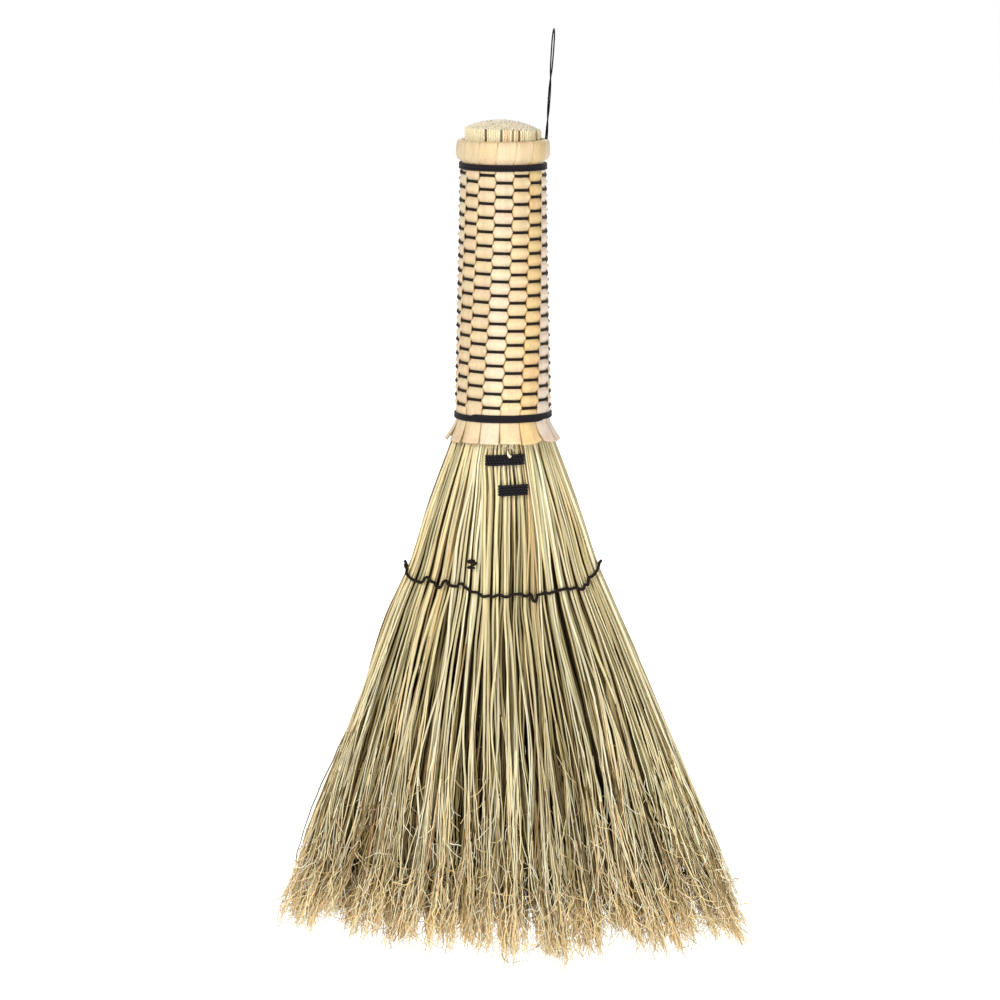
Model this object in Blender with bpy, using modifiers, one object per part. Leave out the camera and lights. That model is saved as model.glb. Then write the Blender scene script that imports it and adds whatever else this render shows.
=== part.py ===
"""A hand broom of broomcorn. Five hanks of stalks lie side by side from the crown to the tips.
Fifteen flat splints stand round the grip, folded over at the collar and flared at the skirt.
Black cord is plaited round the splints, bound above and below them, tied round the middle hank
and stitched across the fan. A twisted loop of thin cord hangs the broom up.

Metres, +Z up. The front faces -Y. The origin is the inside of the loop, where a hook holds it.
Every height is given as a drop below the top of the collar."""

import math
import random
from collections import namedtuple

import bmesh
import bpy

# General clearances
CLEARANCE = 0.0003
SEED = 7

# Hanging loop, with one leg of its route as across, depth and height above the exit
LOOP_REACH = 0.0486
LOOP_LEAN_SHARE = 0.0687
LOOP_CORD = 0.00065
LOOP_STEPS = 2
LOOP_LEG = [
    (0.0004, 0.0, 0.0),
    (0.0004, 0.0, 0.0025),
    (0.0003, 0.0003, 0.0062),
    (0.0, 0.0004, 0.0099),
    (-0.0003, 0.0003, 0.0136),
    (-0.0004, 0.0, 0.0173),
    (-0.0004, 0.0, 0.0215),
    (-0.0003, -0.0003, 0.0252),
    (0.0, -0.0004, 0.0285),
    (0.0003, -0.0008, 0.0318),
    (0.0004, -0.0013, 0.0350),
    (0.00045, -0.0019, 0.0385),
    (0.00045, -0.0024, 0.0420),
    (0.00045, -0.0024, 0.0450),
    (0.00035, -0.00195, 0.0480),
    (0.00015, -0.00085, 0.0496),
]
LOOP_KNOT_LENGTH = 0.0040
LOOP_KNOT_RADIUS = 0.0006
LOOP_KNOT_DROP = 0.0024

# Bundle of hanks
CROWN_HEIGHT = 0.0054
CROWN_DOME = 0.0025
CROWN_HALF_WIDTH = 0.0164
NECK_DROP = 0.0120
NECK_HALF_WIDTH = 0.0154
GRIP_LENGTH = 0.1266
GRIP_HALF_WIDTH = 0.0190
TIE_BELOW_GRIP = 0.0154
TIE_SPACING = 0.0138
UPPER_HALF_WIDTH = 0.0245
UPPER_HALF_DEPTH = 0.0170
LOWER_HALF_WIDTH = 0.0298
LOWER_HALF_DEPTH = 0.0160
ROOT_BELOW_TIE = 0.0566
ROOT_HALF_WIDTH = 0.0507
ROOT_HALF_DEPTH = 0.0150
ROOT_SHIFT = 0.0002
STRAND_LENGTH = 0.1556
TIP_HALF_WIDTH = 0.1128
TIP_HALF_DEPTH = 0.0260
TIP_SHIFT = 0.0048
TIP_ARCH = 0.0096
TIP_SKEW = 0.0047
TIP_JITTER = 0.0050
EDGE_DEPTH_SHARE = 0.25
EDGE_POWER = 2.5
TIE_SEAM = 0.0018
RIB_HEIGHT = 0.0010

# Strands: one from each cell of a hank's lower face
COLUMNS = 6
ROWS = 10
BEND_SHARE = 0.80
STRAND_TAPER_SHARE = 0.60
STAGGER_SHARE = 0.25

# Seams between the hanks, as shares of the bundle's half width
OUTER_SEAM_SHARE = 0.62
CROWN_SEAM_SHARES = (-0.33, 0.33)
GRIP_SEAM_SHARES = (-0.30, 0.36)
UPPER_SEAM_SHARES = (-0.331, 0.389)
LOWER_SEAM_SHARES = (-0.079, 0.374)
ROOT_SEAM_SHARES = (-0.20, 0.24)

# Splints
SPLINTS = 15
SPLINT_THICKNESS = 0.0008
SPLINT_SEAM = 0.00035
EXIT_NOTCH = 0.0015
COLLAR_HEIGHT = 0.0093
COLLAR_ROOM = 0.0006
FOLD_BEND = 0.0013
FOLD_STEPS = 3
INNER_TAIL = 0.0057
SKIRT_LENGTH = 0.0084
SKIRT_SIDE_FLARE = 0.0063
SKIRT_FRONT_FLARE = 0.0024
SKIRT_KNEE_SHARE = 0.4
KNEE_FLARE_SHARE = 0.25

# Cords round the grip and the middle hank
BINDING_CORD = 0.0008
BINDING_PITCH = 0.0013
BINDING_TURNS = 3
BOTTOM_BINDING_RISE = 0.0044
PLAIT_CORD = 0.0010
PLAIT_TURNS = 24
PLAIT_MARGIN = 0.0024
TIE_CORD = 0.00075
TIE_PITCH = 0.0012
TIE_TURNS = 4
TIE_CORNER = 0.0010
TIE_CORNER_STEPS = 3

# Stitched row across the fan
STITCH_CORD = 0.0011
STITCH_ABOVE_ROOT = 0.0105
STITCH_RISE = 0.0126
STITCH_STEPS = 22
STITCH_CURL = 0.0040
KNOT_SHARE = -0.33
KNOT_ABOVE_ROOT = 0.0256
KNOT_HALF_SIZE = 0.0017

Section = namedtuple("Section", "drop half_width half_depth shift seams seam")

UPPER_TIE_DROP = GRIP_LENGTH + TIE_BELOW_GRIP
LOWER_TIE_DROP = UPPER_TIE_DROP + TIE_SPACING
ROOT_DROP = LOWER_TIE_DROP + ROOT_BELOW_TIE
TIP_DROP = ROOT_DROP + STRAND_LENGTH
SECTIONS = [
    Section(ROOT_DROP, ROOT_HALF_WIDTH, ROOT_HALF_DEPTH, ROOT_SHIFT, ROOT_SEAM_SHARES, CLEARANCE),
    Section(LOWER_TIE_DROP, LOWER_HALF_WIDTH, LOWER_HALF_DEPTH, 0, LOWER_SEAM_SHARES, TIE_SEAM),
    Section(UPPER_TIE_DROP, UPPER_HALF_WIDTH, UPPER_HALF_DEPTH, 0, UPPER_SEAM_SHARES, TIE_SEAM),
    Section(GRIP_LENGTH, GRIP_HALF_WIDTH, GRIP_HALF_WIDTH, 0, GRIP_SEAM_SHARES, TIE_SEAM),
    Section(NECK_DROP, NECK_HALF_WIDTH, NECK_HALF_WIDTH, 0, CROWN_SEAM_SHARES, CLEARANCE),
    Section(-CROWN_HEIGHT, CROWN_HALF_WIDTH, CROWN_HALF_WIDTH, 0, CROWN_SEAM_SHARES, CLEARANCE),
]
HANK_NAMES = ("left_outer_hank", "left_inner_hank", "middle_hank", "right_inner_hank", "right_outer_hank")


def mix(low, high, share):
    return low + (high - low) * share


def depth_share(across):
    """How thick the bundle is at a share of its half width, as a share of its half depth."""
    return 1 - (1 - EDGE_DEPTH_SHARE) * min(abs(across), 1) ** EDGE_POWER


def section_at(drop):
    """The bundle's section at any drop between the crown and the roots of the strands."""
    for low, high in zip(SECTIONS, SECTIONS[1:]):
        if drop >= high.drop:
            break
    share = (low.drop - drop) / (low.drop - high.drop)
    seams = tuple(mix(a, b, share) for a, b in zip(low.seams, high.seams))
    sizes = [mix(getattr(low, size), getattr(high, size), share) for size in ("half_width", "half_depth", "shift")]
    return Section(drop, *sizes, seams, mix(low.seam, high.seam, share))


def bundle_radius(drop):
    """The furthest that the round part of the bundle reaches from the axis."""
    return section_at(drop).half_width * math.hypot(1, EDGE_DEPTH_SHARE)


def hank_sides(section, index):
    """The left and right side of one hank at a section, with half a seam left free at each."""
    bounds = (-1, -OUTER_SEAM_SHARE, *section.seams, OUTER_SEAM_SHARE, 1)
    left = section.shift + bounds[index] * section.half_width
    right = section.shift + bounds[index + 1] * section.half_width
    if index > 0:
        left += section.seam / 2
    if index < len(HANK_NAMES) - 1:
        right -= section.seam / 2
    return left, right


def hank_point(section, index, across, depth):
    """A point of a hank: across is 0 to 1 from its left side, depth is -1 at the front to 1."""
    left, right = hank_sides(section, index)
    x = mix(left, right, across)
    share = (x - section.shift) / section.half_width
    groove = RIB_HEIGHT if abs(depth) == 1 and round(across * COLUMNS) % 2 else 0
    return x, depth * (section.half_depth * depth_share(share) - groove), -section.drop


def crown_point(index, across, depth):
    """A point of a hank's cut top, which rises towards the middle of the crown."""
    x, y, z = hank_point(SECTIONS[-1], index, across, depth)
    rise = 1 - (x * x + y * y) / bundle_radius(-CROWN_HEIGHT) ** 2
    return x, y, z + CROWN_DOME * rise


def fan_point(root, stagger, drop):
    """Where a point of the roots comes to further down, where the fan opens evenly."""
    x, y = root[:2]
    share = (drop - ROOT_DROP) / STRAND_LENGTH
    across = (x - ROOT_SHIFT) / ROOT_HALF_WIDTH + stagger
    half_width = mix(ROOT_HALF_WIDTH, TIP_HALF_WIDTH, share)
    depth_growth = mix(1, TIP_HALF_DEPTH / ROOT_HALF_DEPTH, share)
    return mix(ROOT_SHIFT, TIP_SHIFT, share) + across * half_width, y * depth_growth, -drop


def tip_drop(across):
    return TIP_DROP - TIP_ARCH * across**2 + TIP_SKEW * across


# Scene, materials and objects


def clear_scene():
    for obj in list(bpy.data.objects):
        bpy.data.objects.remove(obj)


def principled(name, colour, roughness):
    material = bpy.data.materials.new(name)
    material.use_nodes = True
    shader = material.node_tree.nodes["Principled BSDF"]
    shader.inputs["Base Color"].default_value = (*colour, 1)
    shader.inputs["Roughness"].default_value = roughness
    shader.inputs["Metallic"].default_value = 0
    return material


def add_object(name, data, material, collection, axis):
    """Puts a piece in the collection, parented to the empty on the broom's axis."""
    obj = bpy.data.objects.new(name, data)
    data.materials.append(material)
    collection.objects.link(obj)
    obj.parent = axis
    return obj


def tube(name, points, diameter, resolution):
    """A round cord along points, as a curve with filled caps."""
    curve = bpy.data.curves.new(name, "CURVE")
    curve.dimensions = "3D"
    curve.bevel_depth = diameter / 2
    curve.bevel_resolution = resolution
    curve.use_fill_caps = True
    spline = curve.splines.new("POLY")
    spline.points.add(len(points) - 1)
    for target, point in zip(spline.points, points):
        target.co = (*point, 1)
    return curve


def smooth_route(points, steps):
    """Points on a smooth curve through the given ones."""
    ends = [points[0], *points, points[-1]]
    route = []
    for before, start, end, after in zip(ends, ends[1:], ends[2:], ends[3:]):
        for step in range(steps):
            t = step / steps
            route.append(
                tuple(
                    (2 * b + (c - a) * t + (2 * a - 5 * b + 4 * c - d) * t**2 + (3 * b - a - 3 * c + d) * t**3) / 2
                    for a, b, c, d in zip(before, start, end, after)
                )
            )
    return [*route, points[-1]]


def report_least_gap(name, points, diameter):
    """Prints the least gap between parts of a wound cord that aren't neighbours along it."""
    fine = [
        tuple(mix(a, b, step / 4) for a, b in zip(start, end))
        for start, end in zip(points, points[1:])
        for step in range(4)
    ]
    spacing = math.dist(fine[0], fine[1])
    apart = math.ceil(4 * diameter / spacing) + 1
    least = min(math.dist(fine[i], fine[j]) for i in range(len(fine)) for j in range(i + apart, len(fine)))
    print(f"{name}: least gap to itself {(least - diameter) * 1000:.2f} mm")


# Hanks


def strand_end_points(index, corners, row, jitter):
    """The corners of a strand where it starts to taper, and its tip."""
    roots = [hank_point(SECTIONS[0], index, across, depth) for across, depth in corners]
    middle = [sum(values) / len(roots) for values in zip(*roots)]
    left, right = hank_sides(SECTIONS[0], index)
    pitch_share = (right - left) / COLUMNS / ROOT_HALF_WIDTH
    stagger = STAGGER_SHARE * pitch_share * (1 if row % 2 else -1)
    end = tip_drop((middle[0] - ROOT_SHIFT) / ROOT_HALF_WIDTH + stagger) - jitter * TIP_JITTER
    bend_drop = mix(ROOT_DROP, end, BEND_SHARE)
    centre = fan_point(middle, stagger, bend_drop)
    bend = []
    for root in roots:
        corner = fan_point(root, stagger, bend_drop)
        bend.append(tuple(mix(c, value, STRAND_TAPER_SHARE) for c, value in zip(centre, corner)))
    return bend, fan_point(middle, stagger, end)


def add_strands(mesh, index, lower_faces, chance):
    """Draws a three-sided strand out of one half of each cell of the lower face."""
    halves = bmesh.ops.triangulate(mesh, faces=lower_faces, quad_method="FIXED")["faces"]
    outer_right = index >= HANK_NAMES.index("middle_hank")
    outer = [f for f in halves if ((f.calc_center_median().x + 0.5) * COLUMNS % 1 > 0.5) == outer_right]
    drawn = bmesh.ops.extrude_discrete_faces(mesh, faces=outer)["faces"]
    placed = {}
    for tip in bmesh.ops.poke(mesh, faces=drawn, center_mode="MEAN")["verts"]:
        bend = [edge.other_vert(tip) for edge in tip.link_edges]
        row = int((tip.co.y + 0.5) * ROWS)
        corners = [(vertex.co.x + 0.5, vertex.co.y * 2) for vertex in bend]
        places, placed[tip] = strand_end_points(index, corners, row, chance.random())
        placed.update(zip(bend, places))
    return placed


def hank(index, chance):
    """One hank: a solid stalk bundle from the crown to the roots, and the strands below them."""
    mesh = bmesh.new()
    bmesh.ops.create_grid(mesh, x_segments=COLUMNS, y_segments=ROWS, size=0.5)
    lower_faces = list(mesh.faces)
    top = lower_faces
    for level in range(1, len(SECTIONS)):
        made = bmesh.ops.extrude_face_region(mesh, geom=top, use_keep_orig=level == 1)["geom"]
        if level > 1:
            bmesh.ops.delete(mesh, geom=[f for f in top if f.is_valid], context="FACES")
        top = [item for item in made if isinstance(item, bmesh.types.BMFace)]
        for item in made:
            if isinstance(item, bmesh.types.BMVert):
                item.co.z = level
    bmesh.ops.dissolve_faces(mesh, faces=top, use_verts=False)
    placed = add_strands(mesh, index, lower_faces, chance)
    for vertex in mesh.verts:
        if vertex in placed:
            vertex.co = placed[vertex]
            continue
        level = round(vertex.co.z)
        cell = (index, vertex.co.x + 0.5, vertex.co.y * 2)
        vertex.co = crown_point(*cell) if level == len(SECTIONS) - 1 else hank_point(SECTIONS[level], *cell)
    bmesh.ops.recalc_face_normals(mesh, faces=mesh.faces)
    data = bpy.data.meshes.new(HANK_NAMES[index])
    mesh.to_mesh(data)
    mesh.free()
    return data


# Splints


def inner_leg_radius(drop):
    return bundle_radius(drop) + CLEARANCE + SPLINT_THICKNESS / 2


INNER_TAIL_DROP = COLLAR_HEIGHT + INNER_TAIL
NECK_RADIUS = inner_leg_radius(INNER_TAIL_DROP) + SPLINT_THICKNESS + CLEARANCE
GRIP_RADIUS = inner_leg_radius(GRIP_LENGTH)
FOLD_RADIUS = inner_leg_radius(0) + COLLAR_ROOM + FOLD_BEND


def splint_path(azimuth):
    """The middle of a splint's thickness as radius and drop, from its tucked end to the skirt."""
    fold_drop = FOLD_BEND + SPLINT_THICKNESS / 2
    path = [
        (inner_leg_radius(INNER_TAIL_DROP), INNER_TAIL_DROP),
        (inner_leg_radius(COLLAR_HEIGHT), COLLAR_HEIGHT),
        (FOLD_RADIUS - FOLD_BEND, COLLAR_HEIGHT / 2),
    ]
    for step in range(FOLD_STEPS + 1):
        turn = math.pi * (1 - step / FOLD_STEPS)
        path.append((FOLD_RADIUS + FOLD_BEND * math.cos(turn), fold_drop - FOLD_BEND * math.sin(turn)))
    outer = FOLD_RADIUS + FOLD_BEND
    flare = mix(SKIRT_FRONT_FLARE, SKIRT_SIDE_FLARE, math.cos(azimuth) ** 2)
    knee = GRIP_RADIUS + flare * KNEE_FLARE_SHARE
    path += [
        (outer, COLLAR_HEIGHT / 2),
        (mix(outer, NECK_RADIUS, 1 / 6), COLLAR_HEIGHT * 3 / 4),
        (mix(outer, NECK_RADIUS, 2 / 3), COLLAR_HEIGHT * 11 / 12),
        (NECK_RADIUS, COLLAR_HEIGHT),
        (NECK_RADIUS, INNER_TAIL_DROP),
        (GRIP_RADIUS, GRIP_LENGTH - BOTTOM_BINDING_RISE),
        (GRIP_RADIUS, GRIP_LENGTH),
        (knee, GRIP_LENGTH + SKIRT_LENGTH * SKIRT_KNEE_SHARE),
        (GRIP_RADIUS + flare, GRIP_LENGTH + SKIRT_LENGTH),
    ]
    return path


def splint(index):
    """One flat splint, as an open strip with Solidify. Two of them leave a notch for the loop."""
    turn = 2 * math.pi / SPLINTS
    azimuth = (index + 0.5) * turn
    path = splint_path(azimuth)
    mesh = bmesh.new()
    bmesh.ops.create_grid(mesh, x_segments=1, y_segments=len(path) - 1, size=0.5)
    for vertex in mesh.verts:
        radius, drop = path[round((vertex.co.y + 0.5) * (len(path) - 1))]
        half = radius * math.tan(turn / 2) - SPLINT_SEAM / 2
        side = 1 if vertex.co.x > 0 else -1
        beside_exit = (index == 0 and side < 0) or (index == SPLINTS - 1 and side > 0)
        if beside_exit and drop < COLLAR_HEIGHT and radius > inner_leg_radius(COLLAR_HEIGHT):
            half -= EXIT_NOTCH / 2
        x = radius * math.cos(azimuth) - side * half * math.sin(azimuth)
        y = radius * math.sin(azimuth) + side * half * math.cos(azimuth)
        vertex.co = (x, y, -drop)
    bmesh.ops.recalc_face_normals(mesh, faces=mesh.faces)
    data = bpy.data.meshes.new(splint_name(index))
    mesh.to_mesh(data)
    mesh.free()
    return data


def splint_name(index):
    return f"splint_{index + 1:02d}"


def give_thickness(obj):
    solid = obj.modifiers.new("thickness", "SOLIDIFY")
    solid.thickness = SPLINT_THICKNESS
    solid.offset = 0
    solid.use_even_offset = True


# Cords


def corner_radius(flat_radius, diameter):
    """Where a cord turns at a seam when it lies on splints whose middle is at flat_radius."""
    return (flat_radius + SPLINT_THICKNESS / 2 + CLEARANCE + diameter / 2) / math.cos(math.pi / SPLINTS)


def winding(turns, radii, drops):
    """A cord wound round the splints, turning at each seam between two of them."""
    count = turns * SPLINTS
    points = []
    for step in range(count + 1):
        share = step / count
        angle = 2 * math.pi * step / SPLINTS
        radius = mix(*radii, share)
        points.append((radius * math.cos(angle), radius * math.sin(angle), -mix(*drops, share)))
    return points


def binding(flat_radius, top_drop):
    """A few turns of cord side by side, from top_drop down."""
    first = top_drop + BINDING_CORD / 2
    radius = corner_radius(flat_radius, BINDING_CORD)
    return winding(BINDING_TURNS, (radius, radius), (first, first + BINDING_TURNS * BINDING_PITCH))


def plait():
    """The plaiting cord, wound evenly between the two bindings."""
    start = INNER_TAIL_DROP + PLAIT_MARGIN
    end = GRIP_LENGTH - BOTTOM_BINDING_RISE - PLAIT_MARGIN
    whole = GRIP_LENGTH - BOTTOM_BINDING_RISE - INNER_TAIL_DROP
    radii = [
        corner_radius(mix(NECK_RADIUS, GRIP_RADIUS, (drop - INNER_TAIL_DROP) / whole), PLAIT_CORD)
        for drop in (start, end)
    ]
    return winding(PLAIT_TURNS, radii, (start, end))


def tie(centre_drop):
    """A cord wound round the middle hank, in rounded rectangles that follow its section."""
    corners = ((1, -1), (1, 1), (-1, 1), (-1, -1))
    per_turn = len(corners) * (TIE_CORNER_STEPS + 1)
    first = centre_drop - TIE_TURNS * TIE_PITCH / 2
    middle = HANK_NAMES.index("middle_hank")
    room = CLEARANCE + TIE_CORD / 2
    points = []
    for step in range(TIE_TURNS * per_turn + 1):
        drop = first + TIE_PITCH * step / per_turn
        left, right = hank_sides(section_at(drop), middle)
        half_depth = section_at(drop).half_depth + room
        side, face = corners[step // (TIE_CORNER_STEPS + 1) % len(corners)]
        angle = math.pi / 2 * (step // (TIE_CORNER_STEPS + 1) - 1 + step % (TIE_CORNER_STEPS + 1) / TIE_CORNER_STEPS)
        x = (right + room - TIE_CORNER if side > 0 else left - room + TIE_CORNER) + TIE_CORNER * math.cos(angle)
        y = face * (half_depth - TIE_CORNER) + TIE_CORNER * math.sin(angle)
        points.append((x, y, -drop))
    return points


def stitch_point(across, face):
    """A point of the stitched row, clear of the fan's front (face -1) or back (face 1)."""
    section = section_at(ROOT_DROP - STITCH_ABOVE_ROOT - STITCH_RISE * across**2)
    room = CLEARANCE + STITCH_CORD / 2
    fall = (1 - EDGE_DEPTH_SHARE) * EDGE_POWER * abs(across) ** (EDGE_POWER - 1)
    slope = fall * section.half_depth / section.half_width
    tilt = math.atan(slope) * (1 if across > 0 else -1)
    x = section.shift + across * section.half_width + room * math.sin(tilt)
    y = face * (section.half_depth * depth_share(across) + room * math.cos(tilt))
    return x, y, -section.drop


def stitch_side(face, side):
    """The stitched row at the fan's side, level with the edge of its front or back."""
    section = section_at(ROOT_DROP - STITCH_ABOVE_ROOT - STITCH_RISE)
    x = section.shift + side * (section.half_width + CLEARANCE + STITCH_CORD / 2)
    return x, face * section.half_depth * EDGE_DEPTH_SHARE, -section.drop


def stitching():
    """The stitching cord: along the front, round the right side, along the back, and turned up."""
    shares = [mix(-1, 1, step / STITCH_STEPS) for step in range(STITCH_STEPS + 1)]
    front = [stitch_point(share, -1) for share in shares]
    back = [stitch_point(share, 1) for share in reversed(shares)]
    last = stitch_side(1, -1)
    curl = (last[0], last[1], last[2] + STITCH_CURL)
    return [*front, stitch_side(-1, 1), stitch_side(1, 1), *back, last, curl]


def stitch_knot():
    """The knotted end of the stitching, a small N on the front of the fan."""
    points = []
    for side, rise in ((-1, -1), (-1, 1), (1, -1), (1, 1)):
        section = section_at(ROOT_DROP - KNOT_ABOVE_ROOT - rise * KNOT_HALF_SIZE)
        middle = section_at(ROOT_DROP - KNOT_ABOVE_ROOT)
        x = middle.shift + KNOT_SHARE * middle.half_width + side * KNOT_HALF_SIZE
        share = (x - section.shift) / section.half_width
        y = -(section.half_depth * depth_share(share) + CLEARANCE + STITCH_CORD / 2)
        points.append((x, y, -section.drop))
    return points


def loop_route():
    """The hanging loop: up one leg, over the hook and down the other, leaning to the right."""
    foot = LOOP_KNOT_DROP - LOOP_KNOT_RADIUS - CLEARANCE
    top = LOOP_REACH + LOOP_CORD / 2 + foot
    legs = [*LOOP_LEG, (0, 0, top), *[(-x, -y, height) for x, y, height in reversed(LOOP_LEG)]]
    placed = [(FOLD_RADIUS + x + height * LOOP_LEAN_SHARE, y, height - foot) for x, y, height in legs]
    return smooth_route(placed, LOOP_STEPS)


def loop_knot():
    """The stopper knot that holds the loop's ends under the fold of the collar."""
    half = LOOP_KNOT_LENGTH / 2
    return [(FOLD_RADIUS, -half, -LOOP_KNOT_DROP), (FOLD_RADIUS, half, -LOOP_KNOT_DROP)]


def build():
    clear_scene()
    collection = bpy.data.collections.new("hand_broom")
    bpy.context.scene.collection.children.link(collection)
    axis = bpy.data.objects.new("broom_axis", None)
    collection.objects.link(axis)
    axis.location = (-FOLD_RADIUS - LOOP_REACH * LOOP_LEAN_SHARE, 0, -LOOP_REACH)

    straw = principled("broomcorn", (0.55, 0.47, 0.25), 0.7)
    split_stalk = principled("splint_straw", (0.80, 0.64, 0.38), 0.5)
    black = principled("black_cord", (0.012, 0.012, 0.014), 0.55)

    chance = random.Random(SEED)
    for index, name in enumerate(HANK_NAMES):
        add_object(name, hank(index, chance), straw, collection, axis)
    for index in range(SPLINTS):
        give_thickness(add_object(splint_name(index), splint(index), split_stalk, collection, axis))

    bottom_drop = GRIP_LENGTH - BOTTOM_BINDING_RISE
    cords = [
        ("top_binding", binding(NECK_RADIUS, COLLAR_HEIGHT), BINDING_CORD, 1, True),
        ("bottom_binding", binding(GRIP_RADIUS, bottom_drop), BINDING_CORD, 1, True),
        ("plaiting_cord", plait(), PLAIT_CORD, 0, True),
        ("upper_hank_tie", tie(UPPER_TIE_DROP), TIE_CORD, 1, True),
        ("lower_hank_tie", tie(LOWER_TIE_DROP), TIE_CORD, 1, True),
        ("stitching_cord", stitching(), STITCH_CORD, 1, False),
        ("stitch_knot", stitch_knot(), STITCH_CORD, 1, False),
        ("hanging_cord", loop_route(), LOOP_CORD, 2, False),
        ("hanging_cord_knot", loop_knot(), 2 * LOOP_KNOT_RADIUS, 2, False),
    ]
    for name, points, diameter, resolution, wound in cords:
        add_object(name, tube(name, points, diameter, resolution), black, collection, axis)
        if wound:
            report_least_gap(name, points, diameter)


build()
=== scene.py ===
"""The straw hand broom, dressed for its portrait: woven splints, cut stalks, twisted black cord and
a fan of single stalks that part into fine, frayed fibres. Metres, +Z up, the front faces -Y."""

import math
from types import SimpleNamespace

import bpy
import numpy as np
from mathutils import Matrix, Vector


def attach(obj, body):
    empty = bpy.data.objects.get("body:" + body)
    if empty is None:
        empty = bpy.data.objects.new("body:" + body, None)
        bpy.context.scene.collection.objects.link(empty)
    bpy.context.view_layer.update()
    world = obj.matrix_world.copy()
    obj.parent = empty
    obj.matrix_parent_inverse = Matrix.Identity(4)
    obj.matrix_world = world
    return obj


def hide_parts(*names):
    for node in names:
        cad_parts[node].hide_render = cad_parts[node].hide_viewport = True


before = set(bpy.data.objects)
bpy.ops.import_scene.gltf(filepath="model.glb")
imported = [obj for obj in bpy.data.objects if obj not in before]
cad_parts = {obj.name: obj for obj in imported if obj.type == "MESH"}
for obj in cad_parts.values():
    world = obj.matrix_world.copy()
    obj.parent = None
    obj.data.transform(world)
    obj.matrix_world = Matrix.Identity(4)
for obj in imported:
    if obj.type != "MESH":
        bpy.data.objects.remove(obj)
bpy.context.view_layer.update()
chance = np.random.default_rng(11)

# The source's own sizes, in metres. A drop is measured down from the top of the collar.
BUNDLE_DROPS = np.array([-0.0054, 0.0120, 0.1266, 0.1420, 0.1558, 0.2124])
BUNDLE_HALF_WIDTHS = np.array([0.0164, 0.0154, 0.0190, 0.0245, 0.0298, 0.0507])
BUNDLE_HALF_DEPTHS = np.array([0.0164, 0.0154, 0.0190, 0.0170, 0.0160, 0.0150])
LEFT_SEAM_SHARES = np.array([-0.33, -0.33, -0.30, -0.331, -0.079, -0.20])
RIGHT_SEAM_SHARES = np.array([0.33, 0.33, 0.36, 0.389, 0.374, 0.24])
OUTER_SEAM_SHARE = 0.62
SEAM_GAPS = np.array([0.0003, 0.0003, 0.0018, 0.0018, 0.0018, 0.0003])
EDGE_DEPTH_SHARE = 0.25
EDGE_POWER = 2.5
ROOT_DROP = BUNDLE_DROPS[-1]
ROOT_SHIFT = 0.0002
SHIFT_START = 0.1549
STRAND_LENGTH = 0.1556
TIP_HALF_WIDTH = 0.1128
TIP_HALF_DEPTH = 0.0260
TIP_SHIFT = 0.0048
TIP_ARCH = 0.0096
TIP_SKEW = 0.0047
CROWN_RADIUS = 0.0169
COLLAR_HEIGHT = 0.0093
GRIP_LENGTH = 0.1266
BINDING_RISE = 0.0044
SPLINTS = 15
ROWS = 34
GRIP_TOP_RADIUS = 0.0177
GRIP_FOOT_RADIUS = 0.0203
FOLD_RADIUS = 0.01919
LOOP_REACH = 0.0486
LOOP_LEAN_SHARE = 0.0687
LOOP_CORD = 0.00065
LOOP_KNOT_FOOT = 0.0015
LOOP_LEG = [
    (0.0004, 0.0, 0.0), (0.0004, 0.0, 0.0025), (0.0003, 0.0003, 0.0062), (0.0, 0.0004, 0.0099),
    (-0.0003, 0.0003, 0.0136), (-0.0004, 0.0, 0.0173), (-0.0004, 0.0, 0.0215), (-0.0003, -0.0003, 0.0252),
    (0.0, -0.0004, 0.0285), (0.0003, -0.0008, 0.0318), (0.0004, -0.0013, 0.0350), (0.00045, -0.0019, 0.0385),
    (0.00045, -0.0024, 0.0420), (0.00045, -0.0024, 0.0450), (0.00035, -0.00195, 0.0480),
    (0.00015, -0.00085, 0.0496),
]
AXIS = np.array([-FOLD_RADIUS - LOOP_REACH * LOOP_LEAN_SHARE, 0.0, -LOOP_REACH])
HANKS = ("left_outer", "left_inner", "middle", "right_inner", "right_outer")


def mix(low, high, share):
    return low + (high - low) * share


def smoothstep(low, high, value):
    share = np.clip((value - low) / (high - low), 0, 1)
    return share * share * (3 - 2 * share)


def between(rise, fall, value):
    """1 between two edges, each given by where it starts and ends, and 0 beyond them."""
    return smoothstep(*rise, value) * (1 - smoothstep(*fall, value))


# Camera, light and background

CAMERA_ACROSS = -0.0239
CAMERA_HEIGHT = 0.115
CAMERA_DISTANCE = 2.27
CAMERA_AIM_HEIGHT = -0.2115
VIEW_DEGREES = 11.22
LAMP_AIM = Vector((-0.02, 0, -0.2))
WHITE = (1, 1, 1, 1)
ROOM_LIGHT = (1.0, 0.99, 0.97, 1)
ROOM_STRENGTH = 0.40
FLOOR_SIZE = 6.0
FLOOR_HEIGHT = -0.60
FLOOR_COLOUR = (0.86, 0.86, 0.86, 1)
FLOOR_GLOW_NEAR = 0.45
FLOOR_GLOW_FAR = 1.0
GLOW_START = 0.5
GLOW_END = 2.0


def add_object(name, data):
    obj = bpy.data.objects.new(name, data)
    bpy.context.scene.collection.objects.link(obj)
    return obj


def add_camera():
    """A long lens, a little above the broom, framed as the photograph is."""
    camera = add_object("camera", bpy.data.cameras.new("camera"))
    camera.location = (CAMERA_ACROSS, -CAMERA_DISTANCE, CAMERA_HEIGHT)
    aim = Vector((CAMERA_ACROSS, 0, CAMERA_AIM_HEIGHT))
    camera.rotation_euler = (aim - camera.location).to_track_quat("-Z", "Y").to_euler()
    camera.data.sensor_fit = "HORIZONTAL"
    camera.data.angle = math.radians(VIEW_DEGREES)
    camera.data.dof.use_dof = False
    bpy.context.scene.camera = camera


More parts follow.
